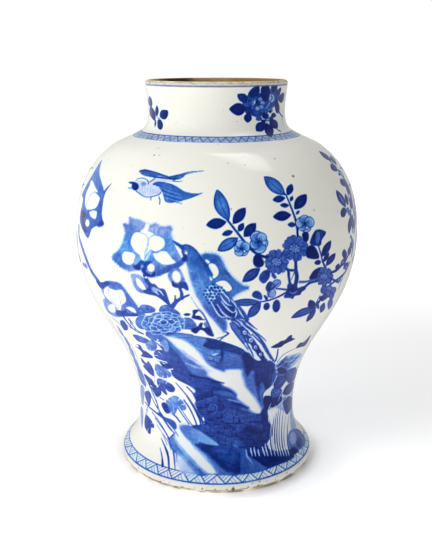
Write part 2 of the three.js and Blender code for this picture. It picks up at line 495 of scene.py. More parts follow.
class PhotoSheet:
    """Places pixels of the photograph on the wall, or further round it by turn."""

    STEPS = 420
    REACH = (0.55, 1.05)

    def __init__(self, wall, turn=0.0):
        self.wall = wall
        self.turn = turn

    def to_wall(self, pixels):
        pixels = np.asarray(pixels, float)
        right = (pixels[:, :1] - PHOTO_CENTRE[0]) / FOCAL_PIXELS
        down = (pixels[:, 1:] - PHOTO_CENTRE[1]) / FOCAL_PIXELS
        sine, cosine = math.sin(CAMERA_PITCH), math.cos(CAMERA_PITCH)
        ray_y = cosine - down * sine
        ray_z = -sine - down * cosine
        reach = np.linspace(*self.REACH, self.STEPS)

        def place(distance):
            return right * distance, ray_y * distance - CAMERA_DISTANCE, CAMERA_HEIGHT + ray_z * distance

        def depth(distance):
            x, y, z = place(distance)
            return np.hypot(x, y) - self.wall.radius_at_height(z)

        outside = depth(reach[None, :])
        hit = outside < 0
        first = np.where(hit.any(1), hit.argmax(1), outside.argmin(1))
        before = np.maximum(first - 1, 0)
        row = np.arange(len(pixels))
        far, near = outside[row, first], outside[row, before]
        share = np.where(hit.any(1) & (near > far), near / np.maximum(near - far, 1e-12), 1.0)
        distance = (reach[before] + share * (reach[first] - reach[before]))[:, None]
        x, y, z = place(distance)
        return np.column_stack([np.arctan2(x, -y) + self.turn, self.wall.along_at_height(z)])


class WallSheet:
    """Places a motif elsewhere on the wall, hung by one of its pixels. Each pixel is scale millimetres."""

    def __init__(self, wall, origin, turn, height, scale, mirror):
        self.wall = wall
        self.origin = np.asarray(origin, float)
        self.turn = math.radians(turn)
        self.along = float(wall.along_at_height(height))
        self.scale = scale * MM
        self.flip = -1.0 if mirror else 1.0

    def to_wall(self, pixels):
        away = (np.asarray(pixels, float) - self.origin) * self.scale
        along = self.along - away[:, 1]
        turn = self.turn + away[:, 0] * self.flip / self.wall.radius_along(along)
        return np.column_stack([turn, along])


class Band:
    """One ring of the glaze: rows up the wall, columns round it, and layers of paint at each crossing."""

    def __init__(self, wall, low, high):
        rows = max(4, round((high - low) / CELL))
        self.along = np.linspace(low, high, rows + 1)
        self.radius = wall.radius_along(self.along)
        self.columns = int(math.ceil(math.tau * self.radius.max() / CELL / 4)) * 4
        self.turn = np.arange(self.columns) * math.tau / self.columns - math.pi
        self.layers = {name: np.zeros((rows + 1, self.columns), np.float32) for name in LAYERS}


def wrapped(turn):
    return (turn + math.pi) % math.tau - math.pi


def from_run(off_x, off_y, run_x, run_y):
    """The share of a straight run that lies nearest to a place, and how far from it the place is."""
    t = np.clip((off_x * run_x + off_y * run_y) / (run_x * run_x + run_y * run_y + 1e-15), 0, 1)
    return t, np.hypot(off_x - t * run_x, off_y - t * run_y)


def smooth(points, closed, step=1.3):
    """A rounded line through points, with a place about every step."""
    points = np.asarray(points, float)
    count = len(points)
    if count < 3:
        closed = False
    ends = count if closed else count - 1
    places = []
    for i in range(ends):
        if closed:
            before, start, stop, after = (points[(i + k) % count] for k in (-1, 0, 1, 2))
        else:
            start, stop = points[i], points[i + 1]
            before = points[i - 1] if i else 2 * start - stop
            after = points[i + 2] if i + 2 < count else 2 * stop - start
        pieces = max(1, int(round(np.hypot(*(stop - start)) / step)))
        t = (np.arange(pieces) / pieces)[:, None]
        bend = start + 0.5 * t * (
            stop - before
            + t * (2 * before - 5 * start + 4 * stop - after + t * (3 * (start - stop) + after - before))
        )
        places.append(bend)
    if not closed:
        places.append(points[-1:])
    return np.concatenate(places)


class Brush:
    """Lays cobalt on the bands, along paths and inside outlines that a sheet places."""

    def __init__(self, bands, sheet, wash=1.0):
        self.bands = bands
        self.sheet = sheet
        self.wash = wash

    def on(self, sheet):
        return Brush(self.bands, sheet, self.wash)

    def thinned(self, wash):
        """The same brush with its cobalt let down with water."""
        return Brush(self.bands, self.sheet, wash)

    def _patches(self, line, reach):
        """The rows and columns of each band near a line, with places measured from the line's middle."""
        middle = line[len(line) // 2, 0]
        turn = wrapped(line[:, 0] - middle)
        low, high = line[:, 1].min() - reach, line[:, 1].max() + reach
        for band in self.bands:
            if band.along[-1] < low or band.along[0] > high:
                continue
            rows = np.nonzero((band.along >= low) & (band.along <= high))[0]
            if not len(rows):
                continue
            rows = slice(rows[0], rows[-1] + 1)
            radius = band.radius[rows]
            spread = reach / radius.min()
            around = wrapped(band.turn - middle)
            columns = np.nonzero((around >= turn.min() - spread) & (around <= turn.max() + spread))[0]
            if not len(columns):
                continue
            x = around[columns][None, :] * radius[:, None]
            y = np.broadcast_to(band.along[rows][:, None], x.shape)
            line_x = turn[None, :] * radius[:, None]
            yield band, rows, columns, x, y, line_x, line[:, 1]

    @staticmethod
    def _lay(band, rows, columns, cover, tone, layer, mode):
        """Lays a tone over a patch, or only within what is painted there already."""
        patch = band.layers[layer][rows, columns]
        change = (tone - patch) * cover
        if mode == "within":
            change = change * np.clip(patch / PAINTED_TONE, 0, 1)
        band.layers[layer][rows, columns] = patch + change

    def stroke(
            self, path, width, tone, edge=EDGE, mode="over", layer="cobalt", round_path=True, strength=1.0):
        """A brush line whose width, in millimetres, may swell or taper along the path, as may its tone."""
        path = smooth(path, False) if round_path else np.asarray(path, float)
        line = self.sheet.to_wall(path)
        count = len(line)
        share = np.linspace(0, 1, count)
        widths = np.atleast_1d(width).astype(float) * MM / 2
        half = np.interp(share, np.linspace(0, 1, len(widths)), widths)
        tones = np.atleast_1d(tone).astype(float)
        shade = np.interp(share, np.linspace(0, 1, len(tones)), tones)
        reach = half.max() + edge
        for band, rows, columns, x, y, line_x, line_y in self._patches(line, reach):
            cover = np.zeros(x.shape)
            colour = np.zeros(x.shape)
            for i in range(count - 1):
                run_x = line_x[:, i + 1: i + 2] - line_x[:, i: i + 1]
                run_y = line_y[i + 1] - line_y[i]
                t, gap = from_run(x - line_x[:, i: i + 1], y - line_y[i], run_x, run_y)
                here = np.clip((half[i] + t * (half[i + 1] - half[i]) - gap) / edge + 0.5, 0, 1)
                better = here > cover
                cover = np.where(better, here, cover)
                colour = np.where(better, shade[i] + t * (shade[i + 1] - shade[i]), colour)
            self._lay(band, rows, columns, cover * strength, colour * self.wash, layer, mode)

    def fill(
            self, outline, tone, edge=EDGE, rounded=True, mode="over", layer="cobalt", strength=1.0):
        """A filled outline. A tone that fades is given as two pixels and the tones at them."""
        outline = smooth(outline, True) if rounded else np.asarray(outline, float)
        line = self.sheet.to_wall(outline)
        fades = isinstance(tone, tuple)
        ends = self.sheet.to_wall(tone[:2]) if fades else None
        middle = line[len(line) // 2, 0]
        for band, rows, columns, x, y, line_x, line_y in self._patches(line, edge):
            inside = np.zeros(x.shape, bool)
            gap = np.full(x.shape, 1.0)
            for i in range(len(line)):
                j = (i + 1) % len(line)
                start_x, start_y = line_x[:, i: i + 1], line_y[i]
                run_x, run_y = line_x[:, j: j + 1] - start_x, line_y[j] - start_y
                off_x, off_y = x - start_x, y - start_y
                gap = np.minimum(gap, from_run(off_x, off_y, run_x, run_y)[1])
                if run_y:
                    crosses = (start_y > y) != (line_y[j] > y)
                    inside ^= crosses & (off_x < run_x * off_y / run_y)
            cover = np.clip(np.where(inside, gap, -gap) / edge + 0.5, 0, 1)
            shade = tone
            if fades:
                radius = band.radius[rows][:, None]
                end_x = wrapped(ends[:, 0] - middle)
                run_x, run_y = (end_x[1] - end_x[0]) * radius, ends[1, 1] - ends[0, 1]
                t = ((x - end_x[0] * radius) * run_x + (y - ends[0, 1]) * run_y) / (run_x**2 + run_y**2)
                shade = tone[2] + np.clip(t, 0, 1) * (tone[3] - tone[2])
            self._lay(band, rows, columns, cover * strength, shade * self.wash, layer, mode)


# Shapes that a brush makes again and again


def px(*numbers):
    """Pixels of the photograph, written x, y, x, y."""
    return np.reshape(numbers, (-1, 2)).astype(float)


def looped(outline):
    """An outline with its first place again at the end."""
    return np.concatenate([outline, outline[:1]])


def toward(angle, squash):
    """The way that an angle points, squashed upright."""
    return np.array([math.cos(angle), math.sin(angle) * squash])


def leaf_outline(base, tip, width, bend=0.0, fullness=0.45):
    """A pointed oval from base to tip, widest at the share fullness, bowed sideways by bend."""
    base, tip = np.asarray(base, float), np.asarray(tip, float)
    run = tip - base
    across = np.array([-run[1], run[0]]) / np.hypot(*run)
    t = np.linspace(0, 1, 13)
    power = math.log(0.5) / math.log(fullness)
    half = width / 2 * np.sin(math.pi * t**power) ** 0.8
    axis = base + run * t[:, None] + across * (bend * np.sin(math.pi * t))[:, None]
    return np.concatenate([axis + across * half[:, None], (axis - across * half[:, None])[-2:0:-1]])


def leaf(brush, base, tip, width, tone=0.92, bend=0.0, fullness=0.5, rim=None):
    """A leaf, washed paler along its middle. One with a rim has it and a vein drawn in a darker line."""
    outline = leaf_outline(base, tip, width, bend, fullness)
    brush.fill(outline, tone, rounded=False)
    base, tip = np.asarray(base, float), np.asarray(tip, float)
    run = tip - base
    heart = leaf_outline(base + 0.16 * run, base + 0.84 * run, width * 0.56, bend * 0.8, fullness)
    brush.fill(heart, tone - (0.16 if rim else 0.07), 2.2 * MM, rounded=False, strength=0.8)
    if rim:
        brush.stroke(looped(outline), 0.9, max(rim, 0.96), round_path=False)
        across = np.array([-run[1], run[0]]) / np.hypot(*run)
        middle = base + run * 0.5 + across * bend
        brush.stroke([base, middle, base + run * 0.86], (1.3, 0.9, 0.5), (rim + tone) / 2)


def marks(brush, *each):
    """Fills and lines one after another: a width, or 0 for a fill, then a tone and the pixels along it."""
    for width, tone, *pixels in each:
        if width:
            brush.stroke(px(*pixels), width, tone)
        else:
            brush.fill(px(*pixels), tone)


def alike(brush, width, tone, *each):
    """The same fill or line again and again, along the pixels of each."""
    marks(brush, *((width, tone, *pixels) for pixels in each))


def soft_fills(brush, *each):
    """Filled outlines one after another: the millimetres of soft edge, a tone and the pixels."""
    for edge, tone, *pixels in each:
        brush.fill(px(*pixels), tone, edge * MM)


def leaves(brush, *each):
    """Leaves one after another: the pixels at the base and the tip, then a width and a tone."""
    for x, y, tip_x, tip_y, width, tone in each:
        leaf(brush, (x, y), (tip_x, tip_y), width, tone)


def oval(centre, across, up, tilt=0.0):
    """An ellipse's outline from its half widths, turned by tilt degrees."""
    t = np.linspace(0, math.tau, 16, endpoint=False)
    cosine, sine = math.cos(math.radians(tilt)), math.sin(math.radians(tilt))
    x, y = across * np.cos(t), up * np.sin(t)
    return np.column_stack([centre[0] + x * cosine - y * sine, centre[1] + x * sine + y * cosine])


def petal(brush, outline, tone=0.0, rim=0.35, width=0.6):
    """A petal of one tone with a thin rim of another. Either may be left out."""
    if tone is not None:
        brush.fill(outline, tone)
    if rim:
        brush.stroke(looped(smooth(outline, True)), width, rim, round_path=False)


def blossom(brush, centre, radius, turn=0.0, tone=0.4, squash=1.0):
    """A five-petalled flower: outlined petals, darker at the heart and pale inside the rim, and stamens."""
    random = np.random.default_rng(int(centre[0] * 10 + centre[1]))
    centre = np.asarray(centre, float)
    for k in range(5):
        angle = math.radians(turn + 360 * (k + random.uniform(-0.2, 0.2)) / 5)
        lean = math.degrees(angle)
        out = toward(angle, squash)
        size = radius * random.uniform(0.84, 1.08)
        middle = centre + 0.55 * size * out
        shade = tone + random.uniform(-0.12, 0.12)
        petal(brush, oval(middle, 0.46 * size, 0.56 * size * squash, lean), shade, 0.9, 0.6)
        brush.fill(oval(centre + 0.3 * size * out, 0.2 * size, 0.22 * size * squash, lean),
            shade + 0.2, 2 * MM)
        rim = oval(middle + 0.02 * size * out, 0.33 * size, 0.4 * size * squash, lean)
        brush.stroke(rim[[13, 14, 15, 0, 1, 2, 3]], (0.3, 0.8, 0.9, 0.3), 0.14)
    pale = centre + 0.5 * radius * toward(math.radians(turn), squash)
    petal(brush, oval(pale, 0.2 * radius, 0.2 * radius * squash), tone - 0.22, 0.86, 0.6)
    for k in range(6):
        angle = math.radians(turn + 30 + 60 * k + random.uniform(-14, 14))
        far = centre + radius * random.uniform(0.3, 0.5) * toward(angle, squash)
        brush.stroke([centre, far], (0.8, 0.4), 0.96)
    brush.fill(oval(centre, 0.1 * radius, 0.1 * radius * squash), 1.0)


def full_blossom(brush, centre, radius, turn=0.0, squash=1.0, tone=0.58):
    """A round, many-petalled flower: a ragged rim, petals in fine lines, and a pale streaked heart."""
    random = np.random.default_rng(int(centre[0] * 10 + centre[1]))
    centre = np.asarray(centre, float)

    def spoke(angle, near, far, width, shade):
        out = radius * toward(angle, squash)
        brush.stroke([centre + near * out, centre + far * out], width, shade)

    for k in range(14):
        angle = math.radians(turn) + math.tau * (k + random.uniform(-0.3, 0.3)) / 14
        place = centre + 0.78 * radius * toward(angle, squash)
        size = radius * random.uniform(0.18, 0.26)
        petal(brush, oval(place, size, 0.9 * size, math.degrees(angle)),
            tone + random.uniform(-0.1, 0.1), 0.86, 0.6)
    brush.fill(oval(centre, 0.8 * radius, 0.8 * radius * squash), tone + 0.04, 1.6 * MM)
    for k in range(26):
        angle = math.tau * (k + random.uniform(-0.4, 0.4)) / 26
        spoke(angle, random.uniform(0.4, 0.56), random.uniform(0.7, 0.94), (0.4, 0.7),
            (0.46, 0.84, 0.7)[k % 3])
    brush.fill(oval(centre, 0.42 * radius, 0.34 * radius * squash), tone - 0.16, 2 * MM)
    heart = oval(centre, 0.46 * radius, 0.36 * radius * squash, 20)
    brush.stroke(looped(heart), 0.8, 0.9, round_path=False)
    for k in range(16):
        spoke(math.tau * k / 16 + turn, random.uniform(0.06, 0.2), random.uniform(0.28, 0.42), 0.6,
            0.84 if k % 2 else 0.3)


def fringe(brush, outline, length, tone, gap=1.6, first=0.0, last=1.0):
    """Short fading hairs of the brush, drawn outward from part of an outline."""
    line = smooth(outline, True, gap)
    x, y = line[:, 0], line[:, 1]
    turning = np.sum(x * np.roll(y, -1) - y * np.roll(x, -1))
    count = len(line)
    for k in range(int(first * count), int(last * count)):
        run = line[(k + 1) % count] - line[k - 1]
        out = np.array([run[1], -run[0]]) / (np.hypot(*run) + 1e-9)
        out = out if turning > 0 else -out
        lean = 0.6 * math.sin(2.4 * k)
        reach = length * (0.45 + 0.55 * abs(math.sin(1.7 * k + 0.6)))
        far = line[k] + out * reach + np.array([-out[1], out[0]]) * lean
        brush.stroke([line[k] - out, far], (1.5, 0.9, 0.3), (tone, tone * 0.7, tone * 0.2), 1.4 * MM)


def along_line(points, share):
    """The places at shares of the way along a line of points."""
    points = np.asarray(points, float)
    length = np.concatenate([[0], np.cumsum(np.hypot(*np.diff(points, axis=0).T))])
    return np.column_stack([np.interp(share, length / length[-1], points[:, k]) for k in (0, 1)])


def washes(brush, spots, across, up, edge=7 * MM, strength=0.8):
    """Soft pools of darker and paler wash, each a place and a tone, kept inside what is painted already."""
    for place, tone in spots:
        brush.fill(oval(place, across, up), tone, edge, mode="within", strength=strength)


def streaks(brush, near, far, count, width, tones, seed, strength=0.7, mode="over"):
    """Dry brush streaks side by side, each run from the near line to the far line."""
    random = np.random.default_rng(seed)
    share = (np.arange(count) + random.uniform(0.1, 0.9, count)) / count
    starts, stops = along_line(near, share), along_line(far, share)
    for start, stop in zip(starts, stops):
        start = start + (stop - start) * random.uniform(0, 0.3)
        stop = stop + (start - stop) * random.uniform(0, 0.4)
        middle = (start + stop) / 2 + random.normal(0, 0.8, 2)
        tone = random.uniform(*tones)
        broad = width * random.uniform(0.6, 1.3)
        widths = (0.4 * broad, broad, 0.2 * broad)
        brush.stroke([start, middle, stop], widths, tone, 1.2 * MM, mode, strength=strength)


def cracks(brush, places, size, tones, seed):
    """Crooked little blocks of broken stone, each with a dark line below and a pale one above."""
    random = np.random.default_rng(seed)
    for x, y in places:
        wide, tall = size * random.uniform(0.7, 1.2), size * random.uniform(0.45, 0.75)
        lean = random.uniform(-0.5, 0.9)
        corners = np.array([(-wide, -tall), (wide, -tall + lean * 2), (wide * 0.9, tall + lean),
            (-wide * 0.8, tall - lean)])
        corners = corners + random.normal(0, 0.8, (4, 2)) + (x, y)
        brush.fill(corners, random.uniform(*tones), 2 * MM, strength=0.7)
        brush.stroke(corners[[0, 1]], (0.5, 0.9, 0.4), random.uniform(0.5, 0.66), strength=0.5)
        brush.stroke(corners[[1, 2, 3]], (0.6, 1.4, 0.8), 1.05, strength=0.9)


def left_edge_magnolia(brush):
    halo = px(102,160, 100,168, 100,176, 104,190, 104,197, 102,213, 103,225, 97,226, 92,229, 88,238, 82,228,
        80,218, 83,200, 83,192, 97,167)
    brush.fill(halo, ((100, 165), (90, 228), 0.5, 0.68))
    brush.fill(px(103,196, 104,191, 112,183, 106,192, 104,198), 0.62)
    brush.fill(px(97,224, 102,220, 104,224.6, 99,227), 0.84, 2 * MM)
    petal(brush, px(92,180, 96,188, 98,192, 92,194, 87,203, 86,208, 85,203, 86,194, 89,187))
    petal(brush, px(95,192, 99,196, 100,199, 96,208, 88,210, 86,207, 89,198, 92,194), rim=0.5)
    petal(brush, px(89.5,212, 93,210.5, 96.5,211, 97,214, 95.5,219, 93,218.5, 90.5,216))
    brush.fill(oval((87.5, 223), 2, 3.8), 0.0)
    brush.fill(px(81,210, 84,211, 86,214, 84,222, 87,232, 84,231, 82,224, 81,217), 0.95)


def swallow(brush):
    body = px(136,182, 140,180, 148,181, 158,177, 174,181, 158,184, 161,190, 160,195, 146,196, 136,191)
    brush.fill(body, 0.12)
    brush.fill(body, 0.1, 2 * MM, layer="hue")
    for k in range(8):
        brush.stroke([(139 + 2.8 * k, 186 + 0.6 * k), (141 + 2.4 * k, 195 - 0.2 * k)], 0.5, 0.3)
    marks(brush, (0.7, 0.8, 136,180.5, 139,178.3, 144,178.4, 148,180.8, 148.5,184),
        (0.7, 0.8, 136,191, 146,197, 158,195, 161,192))
    brush.fill(oval((143.5, 184), 2.8, 2.2), 0.35)
    brush.fill(oval((135.3, 186.5), 3.6, 3.9), 0.95)
    marks(brush, (0, 0.92, 128.5,182, 135,182, 137,184, 133,184.4), (0.9, 0.6, 128.5,187.8, 133,188.4))
    upper = px(140,171, 145,170, 169,177, 177,175, 204,171, 188,174, 175,179, 160,176, 154,177, 141,173)
    brush.fill(upper, ((150, 173), (200, 171), 0.64, 0.64))
    marks(brush, ((1.4, 1, 0.8), 0.98, 140,171, 145,170, 154,172, 163,175, 169,177),
        ((0.6, 1, 0.8), 0.98, 141,173, 148,176, 176,179, 184,176),
        ((1, 0.7, 0.4), 0.9, 169,177, 178,175, 190,172, 203,171),
        (0.8, 0.84, 150,182, 153,180, 157,177, 166,178, 175,180))
    lower = px(153,184, 160,182, 173,185, 185,192, 197,194, 202,193, 190,198, 175,202, 168,202,
        165,200, 162,190, 158,186)
    brush.fill(lower, ((168, 202), (176, 186), 0.46, 0.66))
    petal(brush, lower, None, 0.86, 0.5)
    for k in range(9):
        start = np.array([157 + 1.4 * k, 184.6 + 1.9 * k])
        brush.stroke([start, start + (9, 4.4 - 0.2 * k), start + (22 - k, 8 - 0.5 * k)], (0.5, 0.6, 0.3),
            0.3 if k % 3 == 1 else 0.84)
    marks(brush, (0.8, 0.85, 151,197, 151,200), (0.8, 0.85, 159,197, 160,200, 159.6,204),
        ((1.0, 0.6), 0.6, 173,181, 177,181.6, 182,181.2))


def main_magnolia(brush):
    halo = px(130,217, 132,219, 138,220, 150,225, 156,224, 160,227, 168,227, 170,226, 172,229, 171,235,
        180,256, 184,262, 176,266, 154,277, 143,273, 140,269, 130,271, 120,265, 113,257, 120,249, 126,234,
        124,224, 129,225, 130,221)
    fringe(brush, halo, 2.6, 0.46, 1.2)
    brush.fill(halo, 0.48, 1.2 * MM)
    pools = (((136, 224), 0.42), ((144, 229), 0.34), ((156, 228), 0.32), ((165, 231), 0.4),
        ((127, 230), 0.6), ((117, 256), 0.6), ((119, 260), 0.72), ((124, 266), 0.66), ((169, 246), 0.56),
        ((158, 270), 0.66), ((172, 262), 0.62), ((128, 240), 0.56))
    washes(brush, pools, 6, 5)
    streaks(brush, px(116,258, 125,228, 136,221), px(124,250, 132,236, 143,228), 14, 1.4, (0.26, 0.66), 103,
        0.6, mode="within")
    streaks(brush, px(150,226, 168,229, 174,246), px(152,234, 164,238, 168,252), 14, 1.4, (0.2, 0.62), 107,
        0.6, mode="within")
    streaks(brush, px(116,260, 124,268, 134,270), px(122,256, 126,264, 134,265), 8, 1.3, (0.5, 0.84), 113,
        0.6, mode="within")
    streaks(brush, px(156,277, 166,272, 180,263), px(155,262, 163,266, 174,262), 10, 1.3, (0.5, 0.8), 127,
        0.6, mode="within")
    brush.fill(px(141,231.6, 144.4,227.6, 146,223.6, 149.4,224.6, 148.6,229, 147,232.6), 0.0, 1.4 * MM)
    brush.stroke(px(135,231.4, 139,231, 143,232.4), 0.8, 0.6)
    petals = (px(131,239, 136,232, 146,235, 148,240, 147,247, 145,252, 145,258, 143,261, 140,257, 132,247),
        px(149,239, 155,235, 164,239, 164,247, 156,252, 152,251, 145,261, 148,247),
        px(153,255, 153,253, 157,253, 161,251, 166,251, 169,254, 172,258, 176,263, 165,265, 160,263,
        156,260), px(122,257, 123,253, 126,251, 135,254, 134,262, 130,265, 126,264, 123,261))
    brush.fill(px(140,232, 147,231, 154,234, 156,240, 149,257, 144,261, 140,252), 0.0, 1 * MM)
    for outline in petals:
        petal(brush, outline, 0.0, 0.5, 0.5)
    marks(brush, (0.9, 0.5, 145,258, 151,250, 153,252, 157,252, 164,249),
        (0.9, 0.4, 131,250, 136,252.6, 140,255.6),
        (0, 0.42, 134.6,258, 138,255.6, 140.4,258.6, 139.6,263, 136,264, 134,262.6),
        (0, 0.93, 133,265, 136,265, 141,260, 145,262, 146,261, 150,261, 152,262, 147,266, 147,270, 142,268,
        140,270, 137,270, 134,268))
    brush.fill(oval((142.4, 267), 1.5, 2.6, -20), 0.5)
    brush.fill(px(144,267, 147,272, 151,274.4, 154.6,271.6, 155.4,276, 149,276.8, 144.6,274.4, 141.6,270),
        0.98)
    brush.fill(oval((151.2, 267.8), 3.5, 4), 0.0)
    # the bud at the lower left
    brush.fill(px(131,274, 140,275, 146,282, 148,288, 145,293, 139,292, 135,288, 132,281),
        ((133, 276), (144, 291), 0.36, 0.56), 1.4 * MM)
    brush.fill(px(136,278, 138,278, 141.6,281.6, 144.6,286, 146,289.4, 142.6,289.6, 138.6,286.4, 136.4,282),
        0.0)
    # branches, with the light left along them
    brush.fill(px(143,274, 146,275, 151,283, 155,284, 159,288, 165,290, 170,303, 172,308, 158,297, 147,294,
        143,291, 147,289, 148,286, 145,281), 0.87)
    brush.fill(oval((146, 277.4), 1.5, 1.2), 0.1)
    marks(brush, (0, 0.38, 151.4,287.6, 155,287, 158,290.6, 157,293, 153,291.6),
        ((0.8, 1.5, 0.6), 0.04, 157.4,288.8, 160.6,291.6, 163.6,295.4),
        (1.0, 0.1, 155.6,292.2, 158.6,294.4),
        ((4.4, 3.6, 3, 2.2, 1.4), 0.86, 172,307, 176,302, 180,299, 184,297, 189,295),
        ((1, 2.6), 0.85, 175.2,295.4, 175.6,302), ((3.4, 2.8, 2), 0.87, 182,298, 181.4,292, 179.4,288))
    # the bud at the right
    brush.stroke(px(158,274, 168,269, 176,266, 185,260), (3.6, 5.2, 5, 3.6), 0.76, 1.2 * MM)
    brush.fill(px(168,275, 171,270, 175,268, 180,269, 185,280, 181,284, 174,284, 170,281), 0.56, 1.6 * MM)
    brush.fill(px(172,281, 175,283, 178,284, 181,282, 186,282, 189,290, 186,290, 183,288, 181,289, 178,288,
        174,287, 172,285), 0.93)
    petal(brush, oval((176.5, 276.6), 4.3, 6.2, -14))


def second_magnolia(brush):
    # the branch that climbs the left edge
    brush.stroke(px(79,226, 80,240, 90,268, 99,282), (4, 5, 6, 6, 5.4, 5, 5), 0.7, 1.4 * MM)
    brush.stroke(px(83,264, 86.6,266.4), (4, 5), 0.5)
    halo = px(104,283, 108,281, 119,283, 125,289, 138,307, 139,311, 145,314, 144,316, 129,316, 116,317,
        107,311, 103,300, 105,298, 101,288)
    fringe(brush, halo, 1.8, 0.3, 1.6, 0.0, 0.4)
    brush.fill(halo, ((106, 300), (131, 301), 0.42, 0.6), 1.6 * MM)
    soft_fills(brush, (2, 0.6, 108,282, 118,283, 121,287, 115,287.6, 110,285.4),
        (2, 0.6, 126.6,296, 131,298, 134.4,304, 130,305, 126.4,304))
    streaks(brush, px(108,282, 120,284, 130,297, 138,308), px(111,287, 120,289, 126,298, 129,306), 14, 1.2,
        (0.4, 0.85), 131, 0.6, mode="within")
    brush.fill(px(96,279, 100,282, 104,282, 107,281, 110,284, 107,286, 102,289, 97,283), 0.84)
    petal(brush, px(104,289, 108,286, 110,288, 116,290, 122,290, 126,298, 125,303, 122,305, 121,310,
        118,310, 115,306, 106,297, 104,293))
    marks(brush, (0.8, 0.36, 109,288, 109,294, 111,300, 115,304, 119,309),
        (0.6, 0.28, 116,290, 119,294, 120,299, 121,305))
    petal(brush, px(108,306, 110,304.4, 113,304, 115.4,307.6, 115,312.6, 111.4,312, 108.6,309.6))
    petal(brush, px(125.6,307.6, 129,306.4, 133,307.4, 135.6,310, 136.8,313, 133,312.4, 129,310), rim=0.6)
    brush.fill(px(116,312, 118,310, 122,311, 126,310, 128,313, 137,314, 138,316, 119,316), 0.86)
    # stalks under it
    brush.fill(px(120,321.6, 123,320, 126,323.4, 128,328, 125,330.4, 122,327), 0.74, 1.2 * MM)
    marks(brush, ((0.8, 1.3, 1), 0.6, 112,317, 118,322.6, 123,327),
        ((1, 1.8, 1.4), 0.34, 108,316, 112,323, 117,331, 122,339, 127,346),
        ((2.4, 1.8, 1.4, 1), 0.94, 123,316, 129,324, 136,331, 143,334),
        (1.0, 0.8, 128,325.4, 132,328.4, 135.6,329.4), ((1, 1.8, 1), 0.62, 129,318.6, 131,321, 133,323.6))


def magnolia_behind(brush):
    halo = px(202,256, 211,254, 220,258, 228,273, 241,285, 248,288, 237,293, 230,299, 225,296,
        214,286, 206,270)
    fringe(brush, halo, 3.4, 0.56, 1.1, 0.0, 0.62)
    brush.fill(halo, ((208, 256), (238, 290), 0.74, 0.62), 1.8 * MM)
    streaks(brush, px(206,257, 218,262, 226,276), px(218,258, 226,270, 240,288), 18, 1.6,
        (0.5, 0.92), 83, 0.6)
    petal(brush, px(204.6,260.4, 207,259, 210.4,262.6, 208,264.4), rim=0.7)
    petal(brush, px(208,265, 211,263, 215,264, 218,268, 219,273, 217,277, 213,279, 212,276, 213,275,
        210,270), rim=0.84)
    petal(brush, px(208,276.4, 210.6,276, 213,280, 210.6,281), rim=0.7)
    petal(brush, px(215,283, 219,281, 224,280, 228,282, 232,287, 232,290, 228,292, 225,291, 221,287,
        217,285), rim=0.84)


